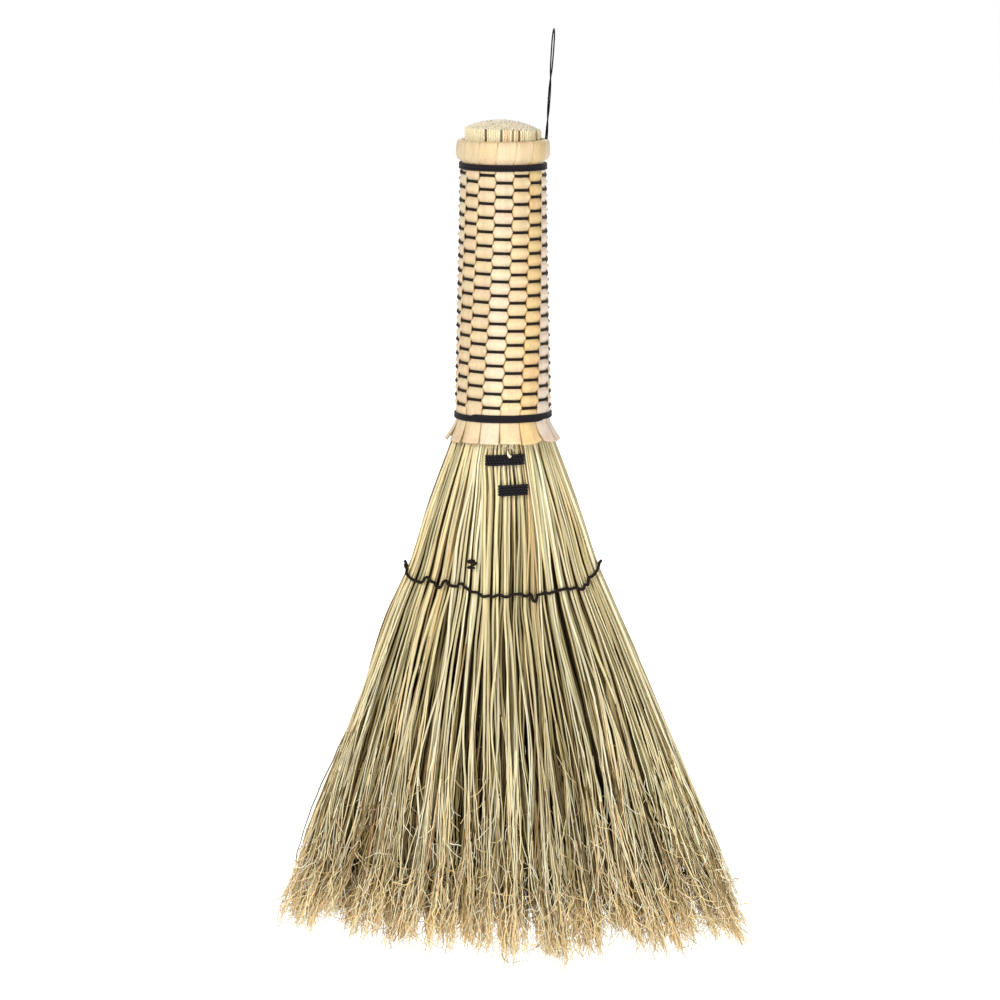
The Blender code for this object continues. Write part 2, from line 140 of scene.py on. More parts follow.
def add_lamp(name, place, size, power):
    data = bpy.data.lights.new(name, "AREA")
    data.shape = "DISK"
    data.size = size
    data.energy = power
    lamp = add_object(name, data)
    lamp.location = place
    lamp.rotation_euler = (LAMP_AIM - lamp.location).to_track_quat("-Z", "Y").to_euler()


def fill_sockets(tree, node, sockets):
    """Link each socket that is given another node's output, and set each that is given a value."""
    for socket, value in sockets.items():
        if isinstance(value, bpy.types.NodeSocket):
            tree.links.new(value, node.inputs[socket])
        else:
            node.inputs[socket].default_value = value


def add_node(tree, kind, sockets):
    node = tree.nodes.new(kind)
    fill_sockets(tree, node, sockets)
    return node


def combine(tree, operation, first, second):
    """Two values put through one sum."""
    node = add_node(tree, "ShaderNodeMath", {0: first, 1: second})
    node.operation = operation
    return node.outputs[0]


def map_range(tree, value, low, high, start=0.0, end=1.0):
    """A value between start and end, drawn out from low to high."""
    sockets = {"Value": value, "From Min": start, "From Max": end, "To Min": low, "To Max": high}
    return add_node(tree, "ShaderNodeMapRange", sockets).outputs[0]


def seen_directly(tree):
    """1 for the camera, mirrors and glass, 0 for light that falls on the object."""
    path = tree.nodes.new("ShaderNodeLightPath").outputs
    mirrored = combine(tree, "MAXIMUM", path["Is Camera Ray"], path["Is Glossy Ray"])
    return combine(tree, "MAXIMUM", mirrored, path["Is Transmission Ray"])


def new_material(name):
    material = bpy.data.materials.new(name)
    material.use_nodes = True
    return material, material.node_tree


def add_room():
    """Soft light from all round, and plain white for whoever looks at it directly."""
    world = bpy.data.worlds.new("studio")
    bpy.context.scene.world = world
    world.use_nodes = True
    tree = world.node_tree
    tree.nodes.clear()
    light = add_node(tree, "ShaderNodeBackground", {"Color": ROOM_LIGHT, "Strength": ROOM_STRENGTH})
    white = add_node(tree, "ShaderNodeBackground", {"Color": WHITE, "Strength": 1})
    sockets = {0: seen_directly(tree), 1: light.outputs[0], 2: white.outputs[0]}
    choose = add_node(tree, "ShaderNodeMixShader", sockets)
    add_node(tree, "ShaderNodeOutputWorld", {0: choose.outputs[0]})


def floor_material():
    """Matt and pale, with a glow that grows with distance until it meets the background's white."""
    material, tree = new_material("pale_floor")
    tree.nodes.clear()
    matt = add_node(tree, "ShaderNodeBsdfDiffuse", {"Color": FLOOR_COLOUR})
    place = tree.nodes.new("ShaderNodeTexCoord").outputs["Object"]
    far = add_node(tree, "ShaderNodeVectorMath", {0: place})
    far.operation = "LENGTH"
    rise = map_range(tree, far.outputs["Value"], FLOOR_GLOW_NEAR, FLOOR_GLOW_FAR, GLOW_START, GLOW_END)
    strength = combine(tree, "MULTIPLY", seen_directly(tree), rise)
    glow = add_node(tree, "ShaderNodeEmission", {"Color": WHITE, "Strength": strength})
    blend = add_node(tree, "ShaderNodeAddShader", {0: matt.outputs[0], 1: glow.outputs[0]})
    add_node(tree, "ShaderNodeOutputMaterial", {0: blend.outputs[0]})
    return material


def add_floor():
    mesh = bpy.data.meshes.new("floor")
    corners = [(FLOOR_SIZE * x, FLOOR_SIZE * y, 0) for x, y in ((-1, -1), (1, -1), (1, 1), (-1, 1))]
    mesh.from_pydata(corners, [], [(0, 1, 2, 3)])
    mesh.materials.append(floor_material())
    floor = add_object("floor", mesh)
    floor.location.z = FLOOR_HEIGHT


add_camera()
add_room()
add_floor()
add_lamp("key", (-1.1, -1.5, 0.7), 0.7, 29)
add_lamp("fill", (1.4, -1.4, -0.3), 1.2, 20)
add_lamp("low_front", (-0.05, -0.6, -0.56), 0.5, 1.5)
add_lamp("back", (0.2, 1.6, 0.8), 1.4, 12)
bpy.context.scene.view_settings.view_transform = "Standard"


# Materials

BUMP_HEIGHT = 0.0002
PATCH_SCALE_SHARE = 0.12
STREAK_LIGHT = (1.06, 1.05, 1.03)
BLOTCH_DARK = (0.86, 0.83, 0.78)
BLOTCH_LIGHT = (1.03, 1.03, 1.0)
CORD_LAY_DEGREES = 40
CORD_LAY_SCALE = 0.9


def link_bump(tree, height, strength):
    bump = add_node(tree, "ShaderNodeBump", {"Strength": strength, "Distance": BUMP_HEIGHT, "Height": height})
    tree.links.new(bump.outputs[0], tree.nodes["Principled BSDF"].inputs["Normal"])


def stretched_noise(tree, coordinates, scale, detail):
    """Noise drawn out along one axis, for fibres that run along a stalk."""
    mapping = add_node(tree, "ShaderNodeMapping", {"Vector": coordinates, "Scale": scale})
    sockets = {"Vector": mapping.outputs[0], "Scale": 1, "Detail": detail}
    return add_node(tree, "ShaderNodeTexNoise", sockets).outputs["Fac"]


def ramp(tree, value, stops):
    colour_ramp = add_node(tree, "ShaderNodeValToRGB", {0: value})
    for element, (position, colour) in zip(colour_ramp.color_ramp.elements, stops):
        element.position = position
        element.color = (*colour, 1)
    return colour_ramp.outputs[0]


def multiply(tree, first, second, factor=1.0):
    blend = tree.nodes.new("ShaderNodeMix")
    blend.data_type = "RGBA"
    blend.blend_type = "MULTIPLY"
    fill_sockets(tree, blend, {0: factor, 6: first, 7: second})
    return blend.outputs[2]


def lay_coordinates(tree):
    """A piece's own coordinates: round the strand and along it."""
    lay = tree.nodes.new("ShaderNodeUVMap")
    lay.uv_map = "lay"
    return lay.outputs[0]


def straw_material(name, grain_scale, roughness, bump, contrast, along_strands=False):
    """Straw: each strand's own colour, streaked by fine fibres that run along it."""
    material, tree = new_material(name)
    shader = tree.nodes["Principled BSDF"]
    tint = tree.nodes.new("ShaderNodeAttribute")
    tint.attribute_name = "tint"
    place = lay_coordinates(tree) if along_strands else tree.nodes.new("ShaderNodeTexCoord").outputs["Object"]
    fibres = stretched_noise(tree, place, grain_scale, 4)
    patches = stretched_noise(tree, place, tuple(PATCH_SCALE_SHARE * s for s in grain_scale), 3)
    streaks = ramp(tree, fibres, [(0.3, [1 - contrast] * 3), (0.7, STREAK_LIGHT)])
    blotches = ramp(tree, patches, [(0.32, BLOTCH_DARK), (0.62, BLOTCH_LIGHT)])
    colour = multiply(tree, multiply(tree, tint.outputs["Color"], streaks), blotches, 0.8)
    shine = map_range(tree, fibres, roughness + 0.12, roughness - 0.10)
    fill_sockets(tree, shader, {"Base Color": colour, "Roughness": shine})
    shader.inputs["Specular IOR Level"].default_value = 0.35
    link_bump(tree, fibres, bump)
    return material


def cord_material(name, dark, light):
    """Black waxed cord: fine strands laid at a slant, read from the piece's own lay coordinates, with painted
    highlights on the slanted strands.
    """
    material, tree = new_material(name)
    shader = tree.nodes["Principled BSDF"]
    slant = (0, 0, math.radians(CORD_LAY_DEGREES))
    scale = (CORD_LAY_SCALE, CORD_LAY_SCALE, 1)
    sockets = {"Vector": lay_coordinates(tree), "Rotation": slant, "Scale": scale}
    mapping = add_node(tree, "ShaderNodeMapping", sockets)
    sockets = {"Vector": mapping.outputs[0], "Scale": 1, "Distortion": 0.6, "Detail": 2}
    wave = add_node(tree, "ShaderNodeTexWave", sockets).outputs["Fac"]
    # The ramp's light end is a painted highlight along each slanted strand of the lay; the rest is the cord's
    # own near black.
    colour = ramp(tree, wave, [(0.55, dark), (1.0, light)])
    shine = map_range(tree, wave, 0.75, 0.45)
    fill_sockets(tree, shader, {"Base Color": colour, "Roughness": shine})
    shader.inputs["Specular IOR Level"].default_value = 0.12
    link_bump(tree, wave, 0.8)
    return material


STALK = straw_material("broomcorn_stalk", (9, 55, 1), 0.5, 0.5, 0.42, along_strands=True)
FIBRE = straw_material("broomcorn_fibre", (2000, 2000, 160), 0.62, 0.2, 0.13)
SPLINT = straw_material("flat_splint", (2600, 2600, 45), 0.5, 0.3, 0.15)
PITH = straw_material("cut_pith", (1800, 1800, 1800), 0.8, 0.6, 0.18)
CORD = cord_material("black_cord", (0.002, 0.0015, 0.002), (0.030, 0.025, 0.034))
PLAIT_CORD = cord_material("plaiting_cord", (0.004, 0.002, 0.001), (0.020, 0.012, 0.008))


# Mesh making

LAY_LENGTH = 0.0025
CORD_TINT = (0.02, 0.02, 0.02)
END_THINNING = 0.55
CURVE_STEPS = 12


class Shape:
    """Points, faces and colours gathered for one piece."""

    def __init__(self, name):
        self.name = name
        self.points = []
        self.faces = []
        self.tints = []
        self.lay = []
        self.count = 0

    def add_strands(self, points, tints, lay=None):
        """Many tubes at once: points is (strands, rows, round, 3), each row a closed ring."""
        strands, rows, around = points.shape[:3]
        index = np.arange(strands * rows * around).reshape(strands, rows, around) + self.count
        ahead = np.roll(index, -1, axis=2)
        quads = np.stack([index[:, :-1], ahead[:, :-1], ahead[:, 1:], index[:, 1:]], axis=-1)
        self.faces += [quads.reshape(-1, 4), index[:, 0, ::-1], index[:, -1]]
        self.points.append(points.reshape(-1, 3))
        self.tints.append(np.broadcast_to(tints, points.shape).reshape(-1, 3))
        if lay is not None:
            self.lay.append(lay.reshape(-1, 2))
        self.count += strands * rows * around

    def add_tube(self, points, tints, lay=None):
        """One tube: points is (rows, round, 3)."""
        self.add_strands(points[None], np.broadcast_to(tints, points.shape)[None], lay)

    def make(self, material, nodes=()):
        """The piece as an object that rides on the body and stands for the named nodes."""
        points = np.concatenate(self.points) + AXIS
        sizes = np.concatenate([np.full(len(block), block.shape[1]) for block in self.faces])
        corners = np.concatenate([block.ravel() for block in self.faces])
        mesh = bpy.data.meshes.new(self.name)
        mesh.vertices.add(len(points))
        mesh.vertices.foreach_set("co", points.astype(np.float32).ravel())
        mesh.loops.add(len(corners))
        mesh.loops.foreach_set("vertex_index", corners.astype(np.int32))
        mesh.polygons.add(len(sizes))
        mesh.polygons.foreach_set("loop_start", (np.cumsum(sizes) - sizes).astype(np.int32))
        mesh.update(calc_edges=True)
        mesh.polygons.foreach_set("use_smooth", np.full(len(sizes), True))
        tint = mesh.color_attributes.new("tint", "FLOAT_COLOR", "POINT")
        colours = np.ones((len(points), 4), np.float32)
        colours[:, :3] = np.clip(np.concatenate(self.tints), 0, 1)
        tint.data.foreach_set("color", colours.ravel())
        if self.lay:
            layer = mesh.uv_layers.new(name="lay")
            layer.data.foreach_set("uv", np.concatenate(self.lay)[corners].astype(np.float32).ravel())
        mesh.materials.append(material)
        obj = add_object(self.name, mesh)
        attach(obj, "root")
        if nodes:
            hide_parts(*nodes)


def unit(vectors):
    return vectors / np.maximum(np.linalg.norm(vectors, axis=-1, keepdims=True), 1e-12)


def lengths_along(path):
    """How far along a path each of its points lies."""
    return np.concatenate([[0], np.cumsum(np.linalg.norm(np.diff(path, axis=0), axis=1))])


def rings(paths, radii, sides, side_axis=(0.0, 1.0, 0.0), turn=0.0):
    """Rings (strands, rows, sides, 3) round many paths at once."""
    tangent = unit(np.gradient(paths, axis=1))
    across = unit(np.cross(tangent, np.array(side_axis)))
    other = np.cross(tangent, across)
    angle = (turn + math.tau * np.arange(sides) / sides)[:, None]
    ring = across[:, :, None] * np.cos(angle) + other[:, :, None] * np.sin(angle)
    return paths[:, :, None] + ring * radii.reshape(*paths.shape[:2], -1, 1)


def tube_points(path, radii, sides, side_axis=(0.0, 1.0, 0.0), turn=0.0, ply=0.0):
    """Rings round one path, and their lay. With ply set, the tube is a two-strand twist."""
    length = lengths_along(path)[:, None] / LAY_LENGTH
    angle = turn + math.tau * np.arange(sides) / sides
    twist = 1 - ply + ply * np.abs(np.cos(angle - math.tau * length))
    points = rings(path[None], np.broadcast_to(radii, len(path))[:, None] * twist, sides, side_axis, turn)
    return points[0], np.stack(np.broadcast_arrays(np.arange(sides) / sides, length), axis=-1)


def cord_piece(name, node, path, radius, sides, side_axis=(0.0, 0.0, 1.0), ply=0.14, material=CORD):
    """A twisted cord along a path, rounded off at both ends."""
    radii = np.full(len(path), radius)
    radii[0] = radii[-1] = END_THINNING * radius
    points, lay = tube_points(path, radii, sides, side_axis, turn=math.pi, ply=ply)
    shape = Shape(name)
    shape.add_tube(points, CORD_TINT, lay)
    shape.make(material, [node])


def smooth_path(points, step):
    """Evenly spaced points on a smooth curve through the given ones."""
    points = np.asarray(points, float)
    ends = np.vstack([2 * points[0] - points[1], points, 2 * points[-1] - points[-2]])
    fine = []
    for a, b, c, d in zip(ends, ends[1:], ends[2:], ends[3:]):
        t = np.linspace(0, 1, CURVE_STEPS, endpoint=False)[:, None]
        square = (2 * a - 5 * b + 4 * c - d) * t**2
        cube = (3 * b - a - 3 * c + d) * t**3
        fine.append((2 * b + (c - a) * t + square + cube) / 2)
    fine = np.vstack([*fine, points[-1:]])
    length = lengths_along(fine)
    at = np.linspace(0, length[-1], max(3, int(round(length[-1] / step)) + 1))
    return np.stack([np.interp(at, length, fine[:, i]) for i in range(3)], axis=1)


# The grip: splints woven with one cord, between two bindings

BINDING_TOP_DROP = COLLAR_HEIGHT
BINDING_FOOT_DROP = GRIP_LENGTH - BINDING_RISE
WEAVE_TOP = 0.0129
WEAVE_FOOT = 0.1193
ROW_PITCH = (WEAVE_FOOT - WEAVE_TOP) / ROWS
SPLINT_TURN = math.tau / SPLINTS
SPLINT_THICKNESS = 0.00055
PLAIT_RADIUS = 0.00068
WEAVE_DEPTH = 0.00042
SPLINT_TWIST = 0.325
TWIST_POWER = 1.4
SEAM_TURN = 0.06
GRIP_TOP_LIFT = 0.0009
GRIP_FOOT_LIFT = 0.0008


def grip_share(drop):
    return (drop - BINDING_TOP_DROP) / (GRIP_LENGTH - BINDING_TOP_DROP)


def grip_radius(drop):
    """The middle of the splints' thickness between the bindings."""
    return mix(GRIP_TOP_RADIUS + GRIP_TOP_LIFT, GRIP_FOOT_RADIUS + GRIP_FOOT_LIFT, grip_share(drop))


def twist_at(drop):
    """How far the splints have turned to the left on their way down."""
    on_collar = -SEAM_TURN * np.clip(drop / COLLAR_HEIGHT, 0, 1)
    return on_collar - SPLINT_TWIST * np.clip(grip_share(drop), 0, 1) ** TWIST_POWER


def row_phase(drop, turn_share):
    """Rows of cord counted down from the first: the spiral falls by one row in a whole turn."""
    return (drop - WEAVE_TOP) / ROW_PITCH - turn_share


def weave_wave(splint, drop):
    """1 where a splint stands out over the cord, -1 where the cord crosses over it."""
    row = row_phase(drop, (splint + 0.5) / SPLINTS)
    wave = -np.cos(math.pi * (row + splint))
    starts = (WEAVE_TOP - 0.002, WEAVE_TOP + 0.001)
    ends = (WEAVE_FOOT, WEAVE_FOOT + 0.002)
    return wave * between(starts, ends, drop)


FOLD_INSIDE = 0.0013
FOLD_OUTSIDE = 0.0012
ROUTE_STEPS_PER_ROW = 6


def splint_route():
    """Radius and drop of a splint's middle, from its tucked end over the fold and down to the skirt."""
    inner = FOLD_RADIUS - FOLD_INSIDE
    outer = FOLD_RADIUS + FOLD_OUTSIDE
    top = [
        (inner - 0.0003, 0.0148), (inner - 0.0002, 0.0090), (inner, 0.0042), (inner + 0.0001, 0.0019),
        (inner + 0.0004, 0.0009), (FOLD_RADIUS - 0.0002, 0.0004), (FOLD_RADIUS + 0.0006, 0.0006),
        (outer - 0.0001, 0.0015), (outer + 0.0003, 0.0032), (outer + 0.0004, 0.0052),
        (outer + 0.0003, 0.0072), (outer - 0.0003, 0.0087),
        (grip_radius(BINDING_TOP_DROP) - 0.0003, 0.0099),
        (grip_radius(0.0112) - 0.0004, 0.0112), (grip_radius(0.0128) - 0.0002, 0.0128),
    ]
    steps = np.arange(0.0140, BINDING_FOOT_DROP - 0.0004, ROW_PITCH / ROUTE_STEPS_PER_ROW)
    grip = [(grip_radius(drop), drop) for drop in steps]
    foot = grip_radius(BINDING_FOOT_DROP)
    skirt = [
        (foot - 0.0004, BINDING_FOOT_DROP + 0.0010),
        (foot - 0.0005, BINDING_FOOT_DROP + 0.0024),
        (foot - 0.0002, BINDING_FOOT_DROP + 0.0038),
    ]
    return np.array(top + grip + skirt)


SKIRT_STEPS = 7
SKIRT_LENGTH = 0.0089
SKIRT_START = 0.0004
FLARE_AT_FRONT = 0.0024
FLARE_AT_SIDES = 0.0054
ACROSS = np.array([-1, -0.975, -0.88, -0.55, -0.2, 0.2, 0.55, 0.88, 0.975, 1])
CELL_SWELL = 0.135
SEAM_GAP = 0.00008
TEAR_DEPTH = 0.0005
TORN_SPLINTS = {13: 1, 14: -1}
TORN_DEPTH = 0.0020
SPLINT_TINTS = np.array([(0.74, 0.60, 0.40), (0.73, 0.58, 0.37), (0.75, 0.62, 0.43), (0.72, 0.56, 0.35)])
GOLDEN_SPLINTS = {12: (0.80, 0.61, 0.37), 13: (0.82, 0.59, 0.29)}
# Colour of the painted pink bounce light on the right-hand (+X) side of the grip.
PINK_BOUNCE_LIGHT = np.array([0.97, 0.82, 0.72])
# Painted shade: the brown that darkens each splint's edges, standing for the shadowed gaps at the seams
# between splints.
SEAM_SHADE_BROWN = np.array([0.46, 0.34, 0.17])
COLLAR_STRAW = np.array([0.69, 0.54, 0.33])
CELLS = 40


def splint_tints(index, azimuth, drop, wave):
    """Straw or golden by its place, with painted pink bounce light toward its right side, painted brown shade
    along its edges at the seams and where it dips under the cord, a little uneven from cell to cell.
    """
    colour = SPLINT_TINTS[chance.integers(len(SPLINT_TINTS))] * chance.uniform(0.97, 1.02)
    colour = np.array(GOLDEN_SPLINTS.get(index, colour))
    # Painted pink bounce light: splints toward the right (+X) are tinted pink as if warm light were thrown
    # back onto that side; golden splints are left out.
    pink_bounce = 0 if index in GOLDEN_SPLINTS else smoothstep(0.3, 1.0, math.cos(azimuth)) * 0.6
    on_collar = (1 - smoothstep(0.0085, 0.0105, drop))[:, None]
    colour = mix(mix(colour, PINK_BOUNCE_LIGHT, pink_bounce)[None], COLLAR_STRAW, 0.6 * on_collar)[:, None]
    both_faces = np.abs(np.concatenate([ACROSS, ACROSS[::-1]]))
    # Painted shade along each splint's edges, for the shadowed seams between neighbouring splints; weaker on
    # the collar.
    edge = smoothstep(0.93, 1.0, both_faces)[None, :, None] * mix(1.0, 0.35, on_collar)[:, None]
    shade = 1 - 0.08 * smoothstep(0.0, 1.0, -wave)[:, None, None]
    cell = ((row_phase(drop, 0) + index + CELLS) / 2).astype(int) % CELLS
    shade = shade * chance.normal(1, 0.018, (CELLS, 3))[cell][:, None]
    return np.clip(mix(colour, colour * SEAM_SHADE_BROWN, edge) * shade, 0, 1)


def splint_piece(index):
    """One splint: a strip that curves across, swells between its crossings and tears at its lower end."""
    azimuth = (index + 0.5) * SPLINT_TURN
    route = splint_route()
    flare = mix(FLARE_AT_FRONT, FLARE_AT_SIDES, math.cos(azimuth) ** 2) * chance.uniform(0.85, 1.1)
    length = SKIRT_LENGTH + chance.uniform(-0.0003, 0.0004)
    start_radius, start_drop = route[-1]
    share = np.linspace(0, 1, SKIRT_STEPS + 1)[1:]
    skirt_radius = start_radius + SKIRT_START * share + flare * share**1.15
    route = np.vstack([route, np.stack([skirt_radius, start_drop + length * share], axis=1)])
    radius, drop = route.T
    turned = azimuth + twist_at(drop)

    slope = unit(np.gradient(route, axis=0))
    outward_radius, outward_drop = slope[:, 1], -slope[:, 0]
    plain = smoothstep(0.0009, 0.0035, drop) * (np.arange(len(drop)) > np.argmin(drop))
    wave = weave_wave(index, drop) * plain
    pitch_half = radius * math.tan(SPLINT_TURN / 2)
    on_skirt = smoothstep(start_drop, start_drop + length, drop)
    zigzag = 2 / math.pi * np.arcsin(0.99 * wave)
    half = pitch_half * (1.0 + CELL_SWELL * zigzag) - SEAM_GAP
    half *= 1 - on_skirt * chance.uniform(0.0, 0.06)
    bulge = np.where(wave > 0, 0.55, -0.35)
    lean = chance.uniform(-0.05, 0.05) * on_skirt

    tear = TEAR_DEPTH * chance.random(len(ACROSS))
    if index in TORN_SPLINTS:
        tear += TORN_DEPTH * np.clip(ACROSS * TORN_SPLINTS[index] - 0.35, 0, 1) ** 0.7
    crown = pitch_half**2 / (2 * radius) * 1.25
    columns = []
    for offset in (SPLINT_THICKNESS / 2, -SPLINT_THICKNESS / 2):
        for s in ACROSS if offset > 0 else ACROSS[::-1]:
            rim = 1 - 0.35 * abs(s) ** 6
            r = radius + outward_radius * (offset * rim + WEAVE_DEPTH * wave * (1 + bulge * s * s))
            r = r - crown * s * s * plain
            d = drop + outward_drop * offset * rim - tear[np.searchsorted(ACROSS, s)] * on_skirt**3
            sideways = (s + lean) * half
            x = r * np.cos(turned) - sideways * np.sin(turned)
            y = r * np.sin(turned) + sideways * np.cos(turned)
            columns.append(np.stack([x, y, -d], axis=1))
    shape = Shape(f"woven_splint_{index + 1:02d}")
    shape.add_tube(np.stack(columns, axis=1), splint_tints(index, azimuth, drop, wave))
    shape.make(SPLINT, [f"splint_{index + 1:02d}"])


STEPS_PER_SPLINT = 14
CORD_SIDES = 7
BINDING_SIDES = 9


def weave_radius(turns, drop):
    """How far out the plaiting cord runs after so many turns, over some splints and under others."""
    splint = np.floor(turns * SPLINTS) % SPLINTS
    inside = turns * SPLINTS - np.floor(turns * SPLINTS)
    over = (np.floor(turns) + splint) % 2 == 0
    risen = 2 * smoothstep(0.035, 0.15, np.minimum(inside, 1 - inside)) - 1
    level = np.where(over, risen, -1.0) * (SPLINT_THICKNESS / 2 + PLAIT_RADIUS * 0.5 - WEAVE_DEPTH)
    chord = np.cos((inside - 0.5) * SPLINT_TURN)
    return (grip_radius(drop) + level) / mix(1, chord, 0.5)


def add_plait():
    per_turn = SPLINTS * STEPS_PER_SPLINT
    turns = np.arange(ROWS * per_turn + per_turn // 2 + 1) / per_turn
    drop = WEAVE_TOP + ROW_PITCH * turns
    angle = math.tau * turns + twist_at(drop)
    radius = weave_radius(turns, drop)
    path = np.stack([radius * np.cos(angle), radius * np.sin(angle), -drop], axis=1)
    cord_piece("woven_cord", "plaiting_cord", path, PLAIT_RADIUS, CORD_SIDES, material=PLAIT_CORD)


BINDING_TURNS = 3.3
BINDING_STEPS_PER_TURN = 96
BINDING_SQUEEZE = 1.02
BINDING_SINK = 0.0003
END_TUCK = 0.0012
BINDING_WOBBLE = 0.00008
# Each binding's node, the drop it starts at, its height and where its cord starts round the grip
BINDINGS = {
    "top_binding_turns": ("top_binding", 0.0098, 0.0042, 0.10),
    "bottom_binding_turns": ("bottom_binding", 0.1217, 0.0038, 0.62),
}


def add_binding(name, node, top_drop, height, start_turn):
    """A few turns of cord pulled tight round the splints, with its ends tucked under."""
    radius = 0.5 * height / BINDING_TURNS * BINDING_SQUEEZE
    share = np.linspace(0, 1, int(BINDING_TURNS * BINDING_STEPS_PER_TURN) + 1)
    drop = top_drop + radius + (height - 2 * radius) * share
    bed = grip_radius(drop) - BINDING_SINK + SPLINT_THICKNESS / 2 + radius * 0.8
    bed = bed - END_TUCK * (smoothstep(0.985, 1, share) + 1 - smoothstep(0, 0.015, share))
    angle = math.tau * (share * BINDING_TURNS + start_turn)
    wobble = BINDING_WOBBLE * np.sin(angle * 0.37 + 1.0)
    path = np.stack([bed * np.cos(angle), bed * np.sin(angle), -(drop + wobble)], axis=1)
    cord_piece(name, node, path, radius, BINDING_SIDES, ply=0.1)


for number in range(SPLINTS):
    splint_piece(number)
add_plait()
for piece, values in BINDINGS.items():
    add_binding(piece, *values)


# The bundle's section, as in the source

FREE_SHARE_LIMIT = 1.1


def bundle_value(drop, values):
    return np.interp(drop, BUNDLE_DROPS, values)


def depth_share(across):
    return 1 - (1 - EDGE_DEPTH_SHARE) * np.minimum(np.abs(across), 1) ** EDGE_POWER


def below_roots(drop):
    """How far down the free strands a drop is, as a share of their length."""
    return np.clip((drop - ROOT_DROP) / STRAND_LENGTH, 0, FREE_SHARE_LIMIT)


def grown(drop, at_roots, root_value, tip_value):
    """A measure of the bundle that goes on growing below the roots, towards its value at the tips."""
    return at_roots + (tip_value - root_value) * below_roots(drop)


def fan_half_depth(drop):
    """Half the fan's thickness at its middle, at any drop."""
    at_roots = bundle_value(drop, BUNDLE_HALF_DEPTHS)
    return grown(drop, at_roots, BUNDLE_HALF_DEPTHS[-1], TIP_HALF_DEPTH)


def fan_half_width(drop):
    at_roots = bundle_value(drop, BUNDLE_HALF_WIDTHS)
    return grown(drop, at_roots, BUNDLE_HALF_WIDTHS[-1], TIP_HALF_WIDTH)


def fan_shift(drop):
    """How far right of its axis the fan's middle is."""
    at_roots = ROOT_SHIFT * smoothstep(SHIFT_START, ROOT_DROP, drop)
    return grown(drop, at_roots, ROOT_SHIFT, TIP_SHIFT)


def fan_surface(x, drop, face):
    """The y of the fan's front (-1) or back (1) at a place."""
    across = (x - fan_shift(drop)) / fan_half_width(drop)
    return face * fan_half_depth(drop) * depth_share(across)


# Hanging cord: part.py's own route, with the twisted legs pulled up until they touch

TWIST_CLOSE = 0.82
TWIST_OPENS = (0.026, 0.032)
LOOP_STEP = 0.0009


def add_hanging_cord():
    top = LOOP_REACH + LOOP_CORD / 2 + LOOP_KNOT_FOOT
    legs = np.array([*LOOP_LEG, (0, 0, top), *[(-x, -y, height) for x, y, height in reversed(LOOP_LEG)]])
    across, depth, height = legs.T
    close = np.interp(height, TWIST_OPENS, [TWIST_CLOSE, 1.0])
    x = FOLD_RADIUS + across * close + height * LOOP_LEAN_SHARE
    route = np.stack([x, depth * close, height - LOOP_KNOT_FOOT], axis=1) + AXIS
    path = smooth_path(route, LOOP_STEP)
    curve = bpy.data.curves.new("hanging_cord_twist", "CURVE")
    curve.dimensions = "3D"
    curve.bevel_depth = LOOP_CORD / 2
    curve.bevel_resolution = 3
    curve.use_fill_caps = True
    spline = curve.splines.new("POLY")
    spline.points.add(len(path) - 1)
    for point, place in zip(spline.points, path):
        point.co = (*place, 1)
    curve.materials.append(CORD)
    obj = add_object("hanging_cord_twist", curve)
    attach(obj, "root")
    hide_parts("hanging_cord")


STOPPER_SIZE = 0.00042
STOPPER_DROP = 0.0024
STOPPER_CORD_RADIUS = 0.00030


def add_loop_knot():
    """The stopper knot under the fold: an overhand knot pulled tight."""
    turn = np.linspace(0, math.tau, 60)
    x = STOPPER_SIZE * (np.sin(turn) + 2 * np.sin(2 * turn)) * 0.5
    y = STOPPER_SIZE * (np.cos(turn) - 2 * np.cos(2 * turn)) * 1.3
    z = -STOPPER_SIZE * np.sin(3 * turn) * 0.8
    path = np.stack([FOLD_RADIUS + x, y, -STOPPER_DROP + z], axis=1)
    cord_piece("loop_stopper_knot", "hanging_cord_knot", path, STOPPER_CORD_RADIUS, CORD_SIDES)


# Crown: the cut ends of the stalks

CROWN_TILT = 0.0008
CROWN_RISE = 0.0042
CROWN_EDGE = 0.0042
CROWN_PITCH = 0.00124
CROWN_INSET = 0.0013
RIM_PITCH = 0.00102
RIM_INSET = 0.0004
CROWN_SIDES = 8
HEX_SHARE = 0.866
# Gaps in the front of the crown's rim, each with its place across and how much light reaches in: a thin dark
# stalk, set a little deeper, is painted shade there.
SHADED_RIM_GAPS = ((-0.0079, 0.15), (-0.0012, 0.20), (0.0040, 0.42), (0.0073, 0.22), (0.0146, 0.50))
GAP_SHADE_RADIUS = 0.00040
GAP_SHADE_COLOUR = np.array([1.0, 0.78, 0.34])
ORANGE_STALKS = (0.0013, 0.0021, 0.0062)
ORANGE_STALK = np.array([0.98, 0.68, 0.42])
PALE_STALK = np.array([1.0, 0.89, 0.61])
PITH_COLOUR = np.array([1.0, 0.93, 0.91])
BROWN_PITH = np.array([0.72, 0.52, 0.42])
BROWN_PITH_SHARE = 0.03
# Straw yellow, sage, green, pale and tan, each with its share
CROWN_COLOURS = {
    (0.66, 0.58, 0.31): 0.36,
    (0.60, 0.56, 0.33): 0.22,
    (0.50, 0.50, 0.31): 0.2,
    (0.72, 0.66, 0.44): 0.14,
    (0.58, 0.44, 0.22): 0.08,
}


